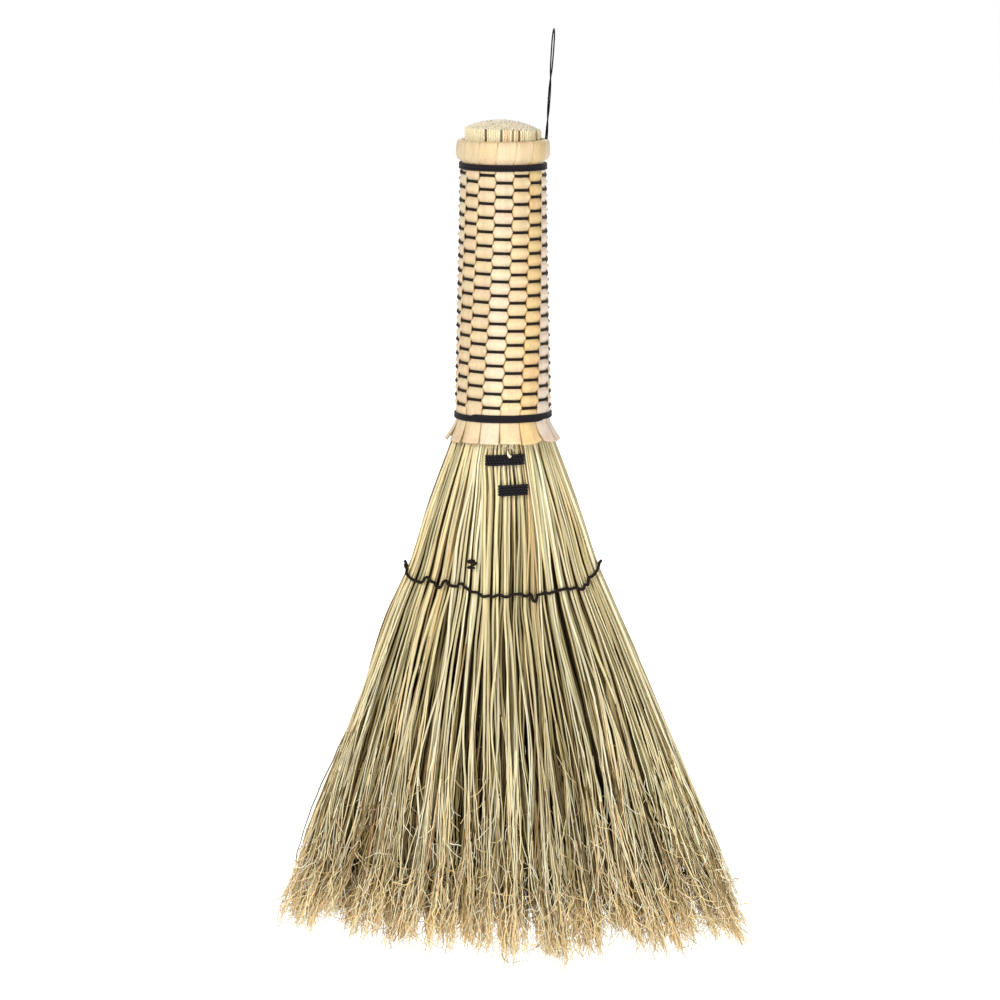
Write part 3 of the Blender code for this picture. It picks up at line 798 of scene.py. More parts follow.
def hex_spots(radius, pitch):
    """Jittered places on a triangular grid within a circle."""
    spots = []
    rows = int(radius / (pitch * HEX_SHARE)) + 1
    for row in range(-rows, rows + 1):
        for column in range(-rows - 1, rows + 2):
            x = (column + 0.5 * (row % 2)) * pitch
            y = row * pitch * HEX_SHARE
            if math.hypot(x, y) < radius:
                spots.append((x, y))
    spots = np.array(spots)
    return spots + chance.normal(0, 0.08 * pitch, spots.shape)


def crown_colour():
    picked = chance.choice(len(CROWN_COLOURS), p=list(CROWN_COLOURS.values()))
    return np.array(list(CROWN_COLOURS))[picked] * chance.uniform(0.86, 1.1)


def crown_top(x, y):
    """The height of the cut stalks: a low dome that leans to the right and away from the front."""
    share = np.hypot(x, y) / CROWN_RADIUS
    return CROWN_EDGE - (CROWN_TILT * x + 0.6 * CROWN_TILT * y) / CROWN_RADIUS + CROWN_RISE * (1 - share**2)


def crown_stalk(stalks, ends, x, y, radius, colour):
    """One cut stalk: its length in the crown, and the pale pith in its end."""
    top = crown_top(x, y) + chance.normal(0, 0.00007)
    levels = np.array([-0.0125, -0.0040, top - 0.0009, top - 0.00012, top])
    widths = np.array([0.95, 1.0, 1.0, 1.0, 0.88]) * radius
    lean = chance.normal(0, 0.00012, 2)
    path = np.stack([x + lean[0] * levels / 0.01, y + lean[1] * levels / 0.01, levels], axis=1)
    points, lay = tube_points(path, widths, CROWN_SIDES, turn=chance.uniform(0, 1))
    stalks.add_tube(points, colour, lay * (1, 0.05) + (chance.uniform(0, 50), 0))
    pith = PITH_COLOUR * chance.uniform(0.92, 1.05)
    if chance.random() < BROWN_PITH_SHARE:
        pith = BROWN_PITH * chance.uniform(0.8, 1.2)
    inset = np.stack([path[-1], path[-1] + (0, 0, 0.00010)])
    cap, _ = tube_points(inset, np.array([0.90, 0.70]) * radius, CROWN_SIDES)
    ends.add_tube(cap, np.clip(pith, 0, 1))


def add_crown():
    stalks = Shape("crown_stalks")
    ends = Shape("crown_cut_ends")
    for x, y in hex_spots(CROWN_RADIUS - CROWN_INSET, CROWN_PITCH):
        radius = chance.uniform(0.00056, 0.00070)
        crown_stalk(stalks, ends, x, y, radius, mix(crown_colour(), PALE_STALK, 0.8))
    rim = CROWN_RADIUS - RIM_INSET
    count = int(math.tau * rim / RIM_PITCH)
    for angle in math.tau * np.arange(count) / count:
        x, y = rim * math.cos(angle), rim * math.sin(angle)
        colour = mix(crown_colour(), PALE_STALK, chance.uniform(0.75, 1.0))
        radius = chance.uniform(0.00042, 0.00062)
        if y < 0 and min(abs(x - place) for place in ORANGE_STALKS) < RIM_PITCH / 2:
            colour = ORANGE_STALK
        # Painted shade: where the rim has a gap in shade, a thin dark stalk set a little deeper stands in for
        # it.
        gap, light = min(SHADED_RIM_GAPS, key=lambda pair: abs(pair[0] - x))
        if y < 0 and abs(gap - x) < RIM_PITCH / 2:
            colour = GAP_SHADE_COLOUR * light
            radius = GAP_SHADE_RADIUS
            x, y = 0.98 * x, 0.98 * y
        crown_stalk(stalks, ends, x, y, radius, colour)
    stalks.make(STALK)
    ends.make(PITH)


# Ties round the middle hank

TIE_TURNS = 4
TIE_RADIUS = 0.00066
TIE_PITCH = 2 * TIE_RADIUS * 0.94
TIE_STEPS_PER_TURN = 72
TIE_CORNERS = 0.16
TIE_TILT = 0.00040
TIE_OVERHANG_LEFT = 0.0006
TIE_OVERHANG_RIGHT = 0.0005
TIE_STANDS_OUT = 0.0014
TIE_BOW = 0.0004
TIE_STEP = 0.0007


def middle_hank_sides(drop):
    """The left and right side of the middle hank at a drop above the roots."""
    half = bundle_value(drop, BUNDLE_HALF_WIDTHS)
    gap = bundle_value(drop, SEAM_GAPS) / 2
    low = fan_shift(drop) + bundle_value(drop, LEFT_SEAM_SHARES) * half + gap
    high = fan_shift(drop) + bundle_value(drop, RIGHT_SEAM_SHARES) * half - gap
    return float(low), float(high)


def add_tie(name, node, centre_drop):
    low, high = middle_hank_sides(centre_drop)
    low, high = low - TIE_OVERHANG_LEFT, high + TIE_OVERHANG_RIGHT
    depth = float(fan_half_depth(centre_drop)) + TIE_STANDS_OUT
    width = (high - low) / 2
    middle = (high + low) / 2
    angle = np.linspace(0, math.tau * TIE_TURNS, TIE_TURNS * TIE_STEPS_PER_TURN + 1)
    c, s = np.cos(angle), np.sin(angle)
    x = middle + width * np.sign(c) * np.abs(c) ** TIE_CORNERS
    y = depth * np.sign(s) * np.abs(s) ** TIE_CORNERS
    y += TIE_BOW * (s < 0) * ((x - middle) / width) ** 2
    drop = centre_drop + TIE_PITCH * (angle / math.tau - TIE_TURNS / 2)
    drop -= TIE_TILT * (x - middle) / width
    path = smooth_path(np.stack([x, y, -drop], axis=1), TIE_STEP)
    cord_piece(name, node, path, TIE_RADIUS, BINDING_SIDES, ply=0.1)


# Stitched row, measured as pixels of the photograph's front view

PIXEL = 0.00045
PIXEL_ORIGIN = (553, 30)
STITCH_PIXELS = [
    (406.4, 563.3), (404.8, 565.2), (405.4, 567.8), (407, 570.3), (405.8, 573.5), (410.8, 579.6),
    (414.7, 581.1), (419.1, 583.1), (422.3, 582.4), (424.9, 578.6), (428.1, 578.3), (429.4, 581.5),
    (434.4, 583.7), (435.7, 586.9), (438.3, 588.5), (440.8, 587.2), (443.4, 582.4), (446.6, 581.8),
    (448.5, 585.6), (456.1, 587.2), (459.3, 584.7), (462.5, 585), (463.8, 587.5), (467.6, 589.8),
    (470.8, 592.6), (476.5, 593.3), (480.4, 595.8), (482.9, 597.7), (489.3, 596.8), (493.1, 597.7),
    (499.5, 595.8), (504.2, 597.8), (508.4, 597.5), (511.9, 595.7), (521.8, 595), (523.2, 596.8),
    (526.7, 597.1), (530.9, 595), (533, 601.3), (535.8, 602.4), (537.5, 596.4), (542.1, 595),
    (545.6, 593.2), (549.1, 594.3), (558.2, 591.5), (567.4, 589.4), (570.9, 590.1), (575.8, 588.3),
    (579.3, 589.7), (583.5, 590.1), (584.9, 585.9), (588.4, 585.2), (588.4, 579.6), (593.3, 576.1),
    (597.5, 570.4), (599.6, 563.4),
]
KNOT_PIXELS = [
    (475, 560.8), (468.4, 561), (468.6, 562.8), (475.2, 562.8), (474.8, 564.8), (467.4, 568), (475.2, 568.3),
]
KNOT_LIFTS = [0.6, 1.0, 0.9, 0.8, 1.2, 0.9, 0.6]
STITCH_RADIUS = 0.00074
KNOT_RADIUS = 0.72 * STITCH_RADIUS
STITCH_LIFT = 0.0010
STITCH_STEP = 0.0004
STITCH_SIDES = 8
BACK_WOBBLE = 0.0006
BACK_WOBBLES = 1400
LEFT_END_DEPTH = 0.002


def from_pixels(pixel):
    """Across and drop, from the broom's axis, of a place seen on the front of the fan."""
    x = (pixel[0] - PIXEL_ORIGIN[0]) * PIXEL
    height = (PIXEL_ORIGIN[1] - pixel[1]) * PIXEL
    nearer = -float(fan_surface(x - AXIS[0], AXIS[2] - height, -1)) / CAMERA_DISTANCE
    x += (CAMERA_ACROSS - x) * nearer
    height += (CAMERA_HEIGHT - height) * nearer
    return x - AXIS[0], AXIS[2] - height


def over_front(pixel, lift):
    """The place over the fan's front that a pixel shows, lifted clear of the stalks."""
    x, drop = from_pixels(pixel)
    return x, float(fan_surface(x, drop, -1)) - lift, -drop


def stitch_piece(name, node, route, radius, side_axis, ply):
    path = smooth_path(route, STITCH_STEP)
    cord_piece(name, node, path, radius, STITCH_SIDES, side_axis, ply, PLAIT_CORD)


def add_stitching():
    """Across the front from left to right, round the right edge, and back across the rear."""
    front = [over_front(pixel, STITCH_LIFT) for pixel in STITCH_PIXELS]
    right, _, right_height = front[-1]
    path = [*front, (right + 0.6 * STITCH_LIFT, 0.0, right_height)]
    for x, _, height in reversed(front[3:-2:2]):
        y = float(fan_surface(x, -height, 1)) + STITCH_LIFT
        path.append((x, y, height - BACK_WOBBLE * math.sin(x * BACK_WOBBLES)))
    left, _, left_height = front[0]
    path.append((left - STITCH_LIFT, LEFT_END_DEPTH, left_height))
    stitch_piece("stitched_row", "stitching_cord", path, STITCH_RADIUS, (0.0, 0.3, 1.0), 0.16)


def add_knot():
    """The small knot of cord: two turns at its top, a slanted leg and one turn at its foot."""
    lifts = [STITCH_LIFT + STITCH_RADIUS * lift for lift in KNOT_LIFTS]
    path = [over_front(*place) for place in zip(KNOT_PIXELS, lifts)]
    stitch_piece("stitch_end_knot", "stitch_knot", path, KNOT_RADIUS, (0.0, 1.0, 0.0), 0.2)


# Torn fibres of the skirt

TUFT_PIXELS = [(507.6, 449.8), (507.6, 451.6), (508.4, 453.8), (510.4, 456.0)]
TUFT_LIFT = 0.0022
TUFT_RADII = (0.00018, 0.0008)
TUFT_COLOUR = (0.94, 0.84, 0.64)
FRAY_PIXELS_ACROSS = np.arange(485.0, 515.0, 2.2)
FRAY_PIXEL_HEIGHT = 443.6
FRAY_RADII = (0.00026, 0.00012)
FRAY_COLOUR = np.array([0.92, 0.78, 0.52])
FRAY_STEP = 0.0004


def add_fray(shape, route, radii, sides, colour):
    path = smooth_path(route, FRAY_STEP)
    points, lay = tube_points(path, np.linspace(*radii, len(path)), sides)
    shape.add_tube(points, colour, lay)


def add_skirt_frays():
    """Torn splint fibres that hang over the top of the fan, with one pale tuft among them."""
    shape = Shape("skirt_frays")
    for pixel in FRAY_PIXELS_ACROSS + chance.normal(0, 0.6, len(FRAY_PIXELS_ACROSS)):
        x, front, height = over_front((pixel, FRAY_PIXEL_HEIGHT), 0.0)
        length = chance.uniform(0.0012, 0.0034)
        bend = chance.normal(0, 0.0006)
        route = [
            (x, front - 0.0030, height + 0.0010),
            (x + bend, front - 0.0020, height - 0.5 * length),
            (x + chance.normal(0, 0.0007), front - 0.0012, height - length),
        ]
        add_fray(shape, route, FRAY_RADII, 5, FRAY_COLOUR * chance.uniform(0.8, 1.05))
    tuft = [over_front(pixel, TUFT_LIFT) for pixel in TUFT_PIXELS]
    add_fray(shape, tuft, TUFT_RADII, 6, TUFT_COLOUR)
    shape.make(SPLINT)


add_hanging_cord()
add_loop_knot()
add_skirt_frays()
add_crown()
add_tie("upper_tie_turns", "upper_hank_tie", BUNDLE_DROPS[3])
add_tie("lower_tie_turns", "lower_hank_tie", BUNDLE_DROPS[4])
add_stitching()
add_knot()


# The fan: stalks, the fibres they part into, and their frayed twigs

STALK_LEFT_SHARES = np.array([-0.33, -0.33, -0.30, -0.331, -0.24, -0.20])
STALK_TOP_DROP = 0.1180
LAYERS = (0.97, 0.85, 0.71, 0.52, 0.26, 0.0, -0.26, -0.52, -0.71, -0.85, -0.97)
FACE_DEPTH = 0.6
FACE_PITCH = 0.00155
INNER_PITCH = 0.00235
STITCH_RISE = 0.0105
STITCH_SAG = 0.0126
STITCH_REACH = 0.014
NEAR_STITCHES = ROOT_DROP - 0.014
# Where the row of stitches runs in the picture: its lowest place, and how it climbs to both sides
ROW_PIXEL_ACROSS = 502
ROW_PIXEL_HEIGHT = 592
ROW_PIXEL_CLIMB = 24
BUNDLE_EDGE_PIXELS = [
    404, 408, 415.3, 427.4, 435.7, 447.2, 457.4, 463.1, 469.5, 479.1, 489.9, 500.7, 513.3, 522.5,
    531.5, 537.2, 545.6, 557.5, 567.7, 576.8, 584.2, 589.1, 596.8, 602,
]
# Drops where something in the fan sets in or dies away
HELD_FROM, HELD_TO = (0.135, 0.165), (0.215, 0.28)
GROOVED_FROM, GROOVED_TO = (0.15, 0.18), (0.225, 0.26)
TIED_TO = (0.150, 0.185)
LOOSE_FROM = (0.124, 0.145)
FREE_FROM = (0.16, 0.34)
SAGE_FROM, SAGE_TO = (0.17, 0.25), (0.28, 0.35)
DRY_FROM = (0.28, 0.36)
FRAYED_FROM = (0.30, 0.36)


def smoothed(function, drop, reach=0.005):
    """A function of drop with its corners rounded off."""
    steps = np.linspace(-reach, reach, 5)
    return sum(function(drop + step) for step in steps) / len(steps)


def stalk_bounds(index, drop):
    """The left and right side of a hank's stalks at any drop above the roots."""
    half = bundle_value(drop, BUNDLE_HALF_WIDTHS)
    ones = np.ones_like(half)
    left = bundle_value(drop, STALK_LEFT_SHARES)
    right = bundle_value(drop, RIGHT_SEAM_SHARES)
    bounds = [-ones, -OUTER_SEAM_SHARE * ones, left, right, OUTER_SEAM_SHARE * ones, ones]
    return bounds[index] * half, bounds[index + 1] * half


def stitch_drop(across):
    """The height of the stitched row at a share of the fan's half width."""
    return ROOT_DROP - STITCH_RISE - STITCH_SAG * across**2


def tip_drop(across):
    return ROOT_DROP + STRAND_LENGTH - TIP_ARCH * across**2 + TIP_SKEW * across


def across_of(index, share, drop):
    """Where a stalk is, as a share of the fan's half width, at any drop."""

    def plain(d):
        low, high = stalk_bounds(index, np.minimum(d, ROOT_DROP))
        return mix(low, high, share) / bundle_value(np.minimum(d, ROOT_DROP), BUNDLE_HALF_WIDTHS)

    return smoothed(plain, drop)


def bundle_edges():
    """Where the stitches part the stalks, as shares of the fan's half width there."""
    edges = []
    for pixel in BUNDLE_EDGE_PIXELS:
        climb = ROW_PIXEL_CLIMB * ((pixel - ROW_PIXEL_ACROSS) / 100) ** 2
        x, drop = from_pixels((pixel, ROW_PIXEL_HEIGHT - climb))
        edges.append((x - fan_shift(drop)) / fan_half_width(drop))
    return np.array(edges)


BUNDLE_EDGES = bundle_edges()


def bundle_pull(index, share, depth):
    """How far each stalk is drawn to its bundle's middle, and how near the bundle's side it lies."""
    across = across_of(index, share, stitch_drop(across_of(index, share, NEAR_STITCHES)))
    cell = np.clip(np.searchsorted(BUNDLE_EDGES, across) - 1, 0, len(BUNDLE_EDGES) - 2)
    low, high = BUNDLE_EDGES[cell], BUNDLE_EDGES[cell + 1]
    middle = (low + high) / 2
    near_face = smoothstep(0.60, 0.80, np.abs(depth))
    return (middle - across) * near_face, np.abs(across - middle) / (high - low) * 2 * near_face


def strand_places(index, strands, drop):
    """Places (strands, rows, 3) of a hank's strands at a row of drops for each."""
    share, depth, sway = strands.share[:, None], strands.depth[:, None], strands.sway
    across = across_of(index, share, drop)
    half_width = smoothed(fan_half_width, drop)
    half_depth = smoothed(fan_half_depth, drop, 0.008)
    at_stitch = np.exp(-(((drop - stitch_drop(across)) / STITCH_REACH) ** 2))
    pull, aside = bundle_pull(index, share, depth)
    held = between(HELD_FROM, HELD_TO, drop)
    across = across + pull * (0.18 * held + 0.20 * at_stitch)
    x = across * half_width * (1 - 0.03 * at_stitch)
    y = depth * half_depth * depth_share(across) * (1 - 0.05 * at_stitch - 0.07 * held * aside**2)
    free = smoothstep(*FREE_FROM, drop)
    loose = smoothstep(*LOOSE_FROM, drop) * (1 - 0.7 * at_stitch)
    wave = np.sin(sway[..., 1] + drop * sway[..., 2])
    drift = sway[..., 4] * free * (1 - across**4)
    x = x + fan_shift(drop) + loose * (sway[..., 0] * (1.0 + 1.4 * free * (1 - across**4)) * wave + drift)
    y = y + sway[..., 3] * loose * (0.5 + 1.0 * free) * np.cos(sway[..., 1] + drop * sway[..., 2] * 0.7)
    return np.stack([x, y, -drop], axis=-1)


SWAY = 0.00075


def sways(count):
    """How each strand bends."""
    reach = chance.normal(0, SWAY, count)
    start = chance.uniform(0, math.tau, count)
    pace = chance.uniform(25, 75, count)
    depth_reach = chance.normal(0, SWAY, count)
    drift = chance.normal(0, 3 * SWAY, count)
    return np.stack([reach, start, pace, depth_reach, drift], axis=-1)[:, None]


def strand_lay(paths, sides):
    """Coordinates round and along each strand, each strand's shifted so that no two look alike."""
    count, rows = paths.shape[:2]
    length = np.cumsum(np.linalg.norm(np.diff(paths, axis=1, prepend=paths[:, :1]), axis=2), axis=1)
    lay = np.empty((count, rows, sides, 2))
    lay[..., 0] = (np.arange(sides) / sides)[None, None] + chance.uniform(0, 60, count)[:, None, None]
    lay[..., 1] = length[..., None]
    return lay


def hank_cells(index):
    """Share and depth of each stalk in a hank: close rows near both faces, looser ones inside."""
    low, high = stalk_bounds(index, np.array(ROOT_DROP))
    width = float(high - low)
    cells = []
    for row, depth in enumerate(LAYERS):
        columns = int(round(width / (FACE_PITCH if abs(depth) > FACE_DEPTH else INNER_PITCH)))
        for column in range(columns):
            share = (column + 0.25 + 0.5 * (row % 2)) / columns
            cells.append((share + chance.normal(0, 0.17 / columns), depth + chance.normal(0, 0.03)))
    cells = np.array(cells)
    return np.clip(cells[:, 0], 0.004, 0.996), np.clip(cells[:, 1], -1, 1)


def hank_strands(index):
    """A hank's stalks: where each lies, how it sways, where it would end and how lit it is."""
    share, depth = hank_cells(index)
    sway = sways(len(share))
    across = across_of(index, share, np.full(len(share), ROOT_DROP))
    full = tip_drop(across)
    shade = in_shade(depth, across)
    return SimpleNamespace(share=share, depth=depth, sway=sway, across=across, full=full, shade=shade)


def parted(strands, each):
    """Every strand so many times over."""
    repeated = {name: np.repeat(values, each, axis=0) for name, values in vars(strands).items()}
    return SimpleNamespace(**repeated)


def in_shade(depth, across):
    """How much of its colour a stalk shows: the ones inside the bundle lie in their neighbours' shade."""
    outside = np.maximum(np.abs(depth), smoothstep(0.80, 0.95, np.abs(across)))
    return np.interp(outside, [0.0, 0.5, 0.7, 0.84, 0.93], [0.04, 0.06, 0.11, 0.30, 1.0])


def crevice(depth, sides):
    """Each strand darkens round to its sides and back, where its neighbours shade it."""
    angle = math.tau * np.arange(sides) / sides
    outward = -np.sin(angle)[None] * np.sign(depth)[:, None]
    return mix(0.15, 1.0, smoothstep(-0.45, 0.62, outward))[:, None, :, None] ** SHADE_WARMTH


LOCK_WIDTH = 0.0088
LOCK_EDGE = 0.935 * TIP_HALF_WIDTH
LOCK_UNEVENNESS = 0.0075
LOCK_POINT = 0.0150
LENGTH_SEED, WARMTH_SEED = 12.9898, 78.233
HASH_SCALE = 43758.5453


def hashed(values, seed):
    """A number from 0 to 1 for each value, the same each time for the same value."""
    large = np.sin(values * seed) * HASH_SCALE
    return large - np.floor(large)


def locks(x, depth):
    """Tips gather in uneven, pointed locks: how far each moves, how much shorter and how warm it is."""
    cell = x / LOCK_WIDTH + 0.6 * np.sin(x * 190) + 0.04 * np.sign(depth) + 0.03 * np.round(depth * 3)
    centre = np.round(cell)
    shorter = LOCK_UNEVENNESS * hashed(centre, LENGTH_SEED) ** 1.5
    shorter = shorter + LOCK_POINT * (2 * np.abs(centre - cell)) ** 1.6
    toward = np.clip(x + (centre - cell) * LOCK_WIDTH, -LOCK_EDGE, LOCK_EDGE) - x
    return toward, shorter, hashed(centre, WARMTH_SEED) ** 1.5


def waviness(count, rows, strength, start):
    """Sideways wander (count, rows, 2) that grows from the share start of each fibre's length."""
    t = np.linspace(0, 1, rows)
    step = strength * (0.18 + 0.82 * smoothstep(start, 1.0, t))[None, :, None]
    wander = np.cumsum(chance.normal(0, 1, (count, rows, 2)) * step, axis=1)
    kinks = chance.normal(0, 1.35, (count, rows, 2)) * step
    return (wander - wander[:, :1] + kinks) * smoothstep(0, 0.25, t)[None, :, None]


# Colours of straw, each with its share of the strands

SAGE = np.array([0.62, 0.58, 0.38])
TAN = (1.0, 0.72, 0.38)
ORANGE = (1.0, 0.81, 0.47)
DRY = (1.0, 0.95, 0.76)
BROWN = (0.34, 0.20, 0.09)
DEAD = (0.46, 0.30, 0.13)
SHADE_WARMTH = np.array([0.88, 1.0, 1.42])
STALK_COLOURS = {
    (0.88, 0.74, 0.42): 0.30,
    (0.76, 0.66, 0.38): 0.22,
    (0.62, 0.58, 0.36): 0.18,
    (0.94, 0.85, 0.60): 0.22,
    (0.80, 0.59, 0.31): 0.07,
    BROWN: 0.01,
}
FIBRE_COLOURS = {
    (0.93, 0.80, 0.49): 0.32,
    (0.74, 0.68, 0.45): 0.28,
    (1.0, 0.94, 0.72): 0.24,
    (0.90, 0.66, 0.38): 0.10,
    BROWN: 0.06,
}
DRY_COLOURS = {TAN: 0.29, ORANGE: 0.36, DRY: 0.27, BROWN: 0.08}
WARM_COLOURS = {TAN: 0.35, ORANGE: 0.65}
TWIG_COLOURS = {TAN: 0.24, ORANGE: 0.32, DRY: 0.34, DEAD: 0.10}


def palette(colours, count, spread):
    """Colours drawn by their shares, each a little lighter or darker."""
    picked = chance.choice(len(colours), size=count, p=list(colours.values()))
    return np.array(list(colours))[picked] * np.clip(chance.normal(1, spread, (count, 1)), 0.6, 1.12)


STALK_ROWS, STALK_SIDES = 34, 7
INNER_RADIUS = 0.0011
THIN_RADIUS, THICK_RADIUS = 0.00042, 0.00092
MIDDLE_HANK = 2
BESIDE_TIES = {MIDDLE_HANK - 1: (0.93, 1.0), MIDDLE_HANK + 1: (0.0, 0.07)}


def stalk_tints(index, stalks, drop):
    """Straw that turns sage and then dry, dark where neighbours, stitches or ties shade it."""
    count = len(stalks.share)
    base = palette(STALK_COLOURS, count, 0.13)
    sage = SAGE * chance.uniform(0.7, 1.45, (count, 1, 1))
    tint = mix(base[:, None], sage, 0.38 * between(SAGE_FROM, SAGE_TO, drop)[..., None])
    tint = mix(tint, np.array(DRY), 0.45 * smoothstep(*DRY_FROM, drop)[..., None])
    _, aside = bundle_pull(index, stalks.share, stalks.depth)
    grooved = between(GROOVED_FROM, GROOVED_TO, drop)
    shade = stalks.shade[:, None] * (1 - 0.55 * grooved * aside[:, None] ** 4)
    tied = 1 - smoothstep(*TIED_TO, drop)
    if index in BESIDE_TIES:
        low, high = BESIDE_TIES[index]
        beside = (stalks.share > low) & (stalks.share < high)
        shade = shade * (1 - 0.80 * tied * beside[:, None])
    if index == MIDDLE_HANK:
        shade = mix(shade, 1.0, 0.85 * tied)
    lit = mix(shade, 1.0, 0.4 * smoothstep(0.032, 0.006, stalks.full[:, None] - drop))
    return tint * lit[..., None] ** SHADE_WARMTH


def add_stalks(index, stalks):
    """Stalks run from inside the grip and thin out before the tips."""
    count = len(stalks.share)
    full = stalks.full
    end = mix(ROOT_DROP, full, chance.uniform(0.50, 0.90, count))
    drop = STALK_TOP_DROP + (end - STALK_TOP_DROP)[:, None] * np.linspace(0, 1, STALK_ROWS)[None]
    paths = strand_places(index, stalks, drop)
    paths[..., :2] += waviness(count, STALK_ROWS, 0.00016, 0.6)
    inside = np.abs(stalks.depth) < FACE_DEPTH
    outer_radius = mix(THIN_RADIUS, THICK_RADIUS, chance.random(count) ** 1.5)
    thick = np.where(inside, INNER_RADIUS, outer_radius)[:, None]
    slim = np.where(inside, 0.55, 0.24)[:, None]
    thin = smoothstep(0.32, 0.92, (drop - STALK_TOP_DROP) / (full - STALK_TOP_DROP)[:, None])
    radii = thick * mix(1.0, slim, thin) * mix(0.84, 1.0, smoothstep(0.12, 0.17, drop))
    tints = stalk_tints(index, stalks, drop)[:, :, None] * crevice(stalks.depth, STALK_SIDES)
    lay = strand_lay(paths, STALK_SIDES)
    shape = Shape(f"{HANKS[index]}_stalks")
    shape.add_strands(rings(paths, radii, STALK_SIDES), tints, lay)
    shape.make(STALK, [f"{HANKS[index]}_hank"])


FIBRES_EACH = 6
FIBRE_ROWS, FIBRE_SIDES = 22, 4
FIBRE_START = 0.002
FIBRE_SPREAD = 0.0024
FIBRE_DEPTH_SPREAD = 0.0015
FIBRE_OVERHANG = 0.0058
FIBRE_UNEVENNESS = 0.0034
SHORTEST_FIBRE = 0.03


def fibre_tints(fibres, below, warm):
    """Straw that turns dry, tan or orange towards the tips, and dark inside the fan where painted shade
    stands for the neighbours' shadow; a fifth of the fibres get deeper painted shade, as if buried.
    """
    total = len(warm)
    base = palette(FIBRE_COLOURS, total, 0.18)
    dry = palette(DRY_COLOURS, total, 0.16)
    dry = mix(dry, palette(WARM_COLOURS, total, 0.10), warm[:, None])
    # Painted shade: one fibre in five is darkened as if it lay deeper in the fan.
    buried_shade = np.where(chance.random(total) < 0.20, 0.32, 1.0)
    dried = smoothstep(0.048, 0.004, below) ** mix(1.0, 0.45, warm[:, None])
    lit = mix((fibres.shade * buried_shade)[:, None], 1.0, 0.90 * smoothstep(0.030, 0.0, below))
    return mix(base[:, None], dry[:, None], dried[..., None]) * lit[..., None] ** SHADE_WARMTH


def add_fibres(index, fibres):
    """Fibres leave each stalk one by one and gather in locks. Returns their paths."""
    total = len(fibres.share)
    start = mix(ROOT_DROP + FIBRE_START, fibres.full, 0.68 * chance.random(total) ** 0.75)
    spread_x = chance.normal(0, FIBRE_SPREAD, total) - 0.0035 * fibres.across
    spread_y = chance.normal(0, FIBRE_DEPTH_SPREAD, total) - fibres.depth * 0.002
    tip = strand_places(index, fibres, fibres.full[:, None])
    toward, shorter, warm = locks(tip[:, 0, 0] - TIP_SHIFT + spread_x, fibres.depth)
    finish = fibres.full + FIBRE_OVERHANG - chance.gamma(1.0, FIBRE_UNEVENNESS, total) - shorter
    finish = np.maximum(finish, start + SHORTEST_FIBRE)
    t = np.linspace(0, 1, FIBRE_ROWS)[None]
    drop = start[:, None] + (finish - start)[:, None] * t
    paths = strand_places(index, fibres, drop)
    below = fibres.full[:, None] - drop
    gather = smoothstep(0.056, 0.006, below) * chance.uniform(0.6, 1.0, total)[:, None]
    paths[..., 0] += spread_x[:, None] * smoothstep(0.0, 0.6, t) + toward[:, None] * gather
    paths[..., 1] += spread_y[:, None] * t**1.5
    paths[..., :2] += waviness(total, FIBRE_ROWS, 0.00042, 0.35)
    radii = chance.uniform(0.00024, 0.00046, total)[:, None] * mix(1.0, 0.42, t**1.4)
    out_of_crevice = 0.9 * smoothstep(0.040, 0.006, below)[:, :, None, None]
    side_shade = mix(crevice(fibres.depth, FIBRE_SIDES), 1.0, out_of_crevice)
    shape = Shape(f"{HANKS[index]}_fibres")
    tints = fibre_tints(fibres, below, warm)[:, :, None] * side_shade
    shape.add_strands(rings(paths, radii, FIBRE_SIDES), tints)
    shape.make(FIBRE)
    return paths


TWIGS_EACH = 3
TWIG_ROWS, TWIG_SIDES = 7, 3
TWIG_OVERHANG = 0.0040


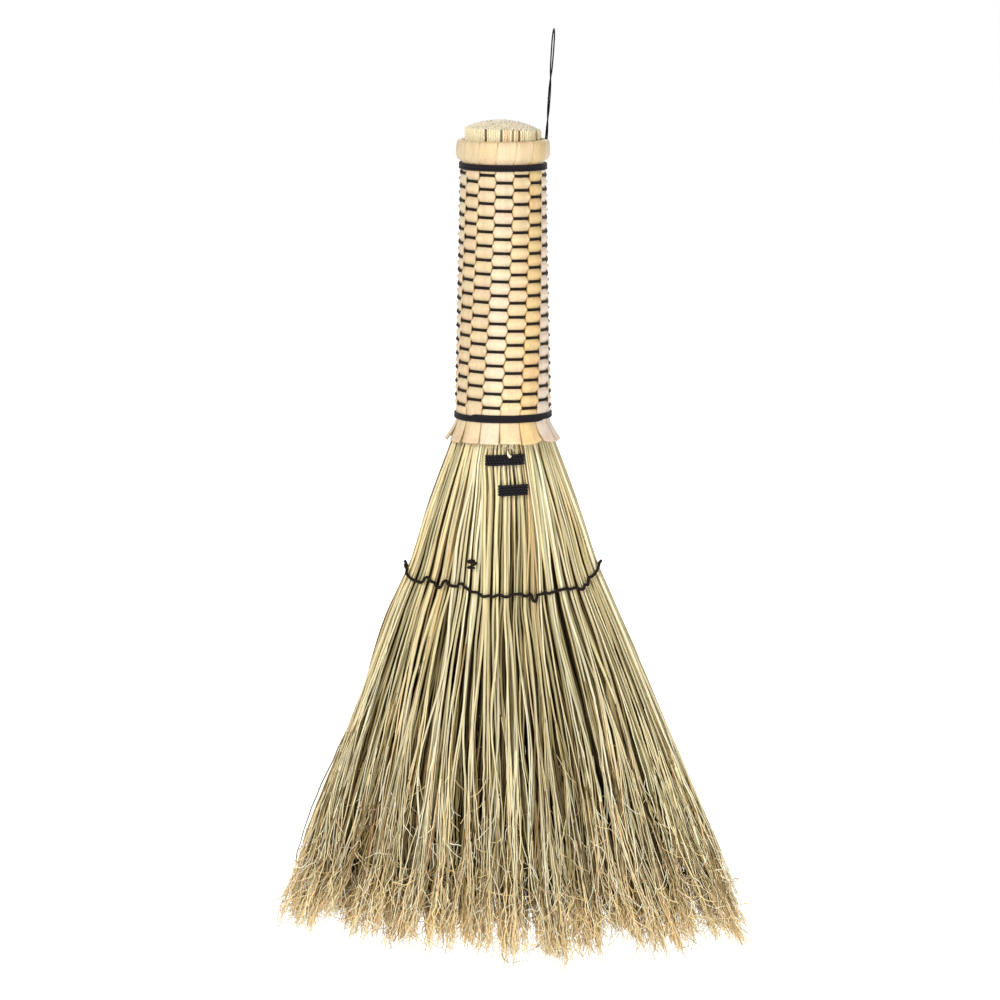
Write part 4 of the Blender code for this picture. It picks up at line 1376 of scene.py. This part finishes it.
def add_twigs(index, twigs, fibre_paths):
    """Short curled twigs fray from the lower part of each fibre."""
    count = len(twigs.share)
    owner = np.repeat(np.arange(len(fibre_paths)), TWIGS_EACH)
    at = mix(0.28, 0.985, chance.random(count) ** 0.7) * (FIBRE_ROWS - 1)
    low = np.floor(at).astype(int)
    high = np.minimum(low + 1, FIBRE_ROWS - 1)
    origin = mix(fibre_paths[owner, low], fibre_paths[owner, high], (at - low)[:, None])
    near_tip = smoothstep(*FRAYED_FROM, -origin[:, 2])
    length = chance.uniform(0.005, 0.016, count)
    angle = chance.normal(0, 0.26, count)
    turn = chance.normal(0, 0.45, count)
    curl = -angle * chance.uniform(0.3, 1.6, count)
    t = np.linspace(0, 1, TWIG_ROWS)[None]
    heading = angle[:, None] + curl[:, None] * t
    heading = heading + np.cumsum(chance.normal(0, 0.30, (count, TWIG_ROWS)), axis=1)
    heading = heading + twigs.across[:, None] * 0.30
    step = (length / (TWIG_ROWS - 1))[:, None]
    move_y = np.broadcast_to(np.sin(turn[:, None]) * step * 0.8, heading.shape)
    moves = np.stack([np.sin(heading) * step, move_y, -np.cos(heading) * step], axis=-1)
    moves[:, 0] = 0
    paths = origin[:, None] + np.cumsum(moves, axis=1)
    share_kept = (0.50 + 0.50 * near_tip) * mix(0.4, 1.0, twigs.shade)
    keep = (paths[:, -1, 2] > -(twigs.full + TWIG_OVERHANG)) & (chance.random(count) < share_kept)
    radii = chance.uniform(0.00016, 0.00028, count)[:, None] * mix(1.0, 0.6, t)
    shade = mix(twigs.shade, 1.0, 0.35 + 0.6 * near_tip)
    tints = np.broadcast_to((palette(TWIG_COLOURS, count, 0.12) * shade[:, None])[:, None], paths.shape)
    shape = Shape(f"{HANKS[index]}_frayed_tips")
    shape.add_strands(rings(paths, radii, TWIG_SIDES)[keep], tints[keep][:, :, None])
    shape.make(FIBRE)


for number in range(len(HANKS)):
    hank = hank_strands(number)
    add_stalks(number, hank)
    hank_fibres = parted(hank, FIBRES_EACH)
    hank_fibre_paths = add_fibres(number, hank_fibres)
    add_twigs(number, parted(hank_fibres, TWIGS_EACH), hank_fibre_paths)
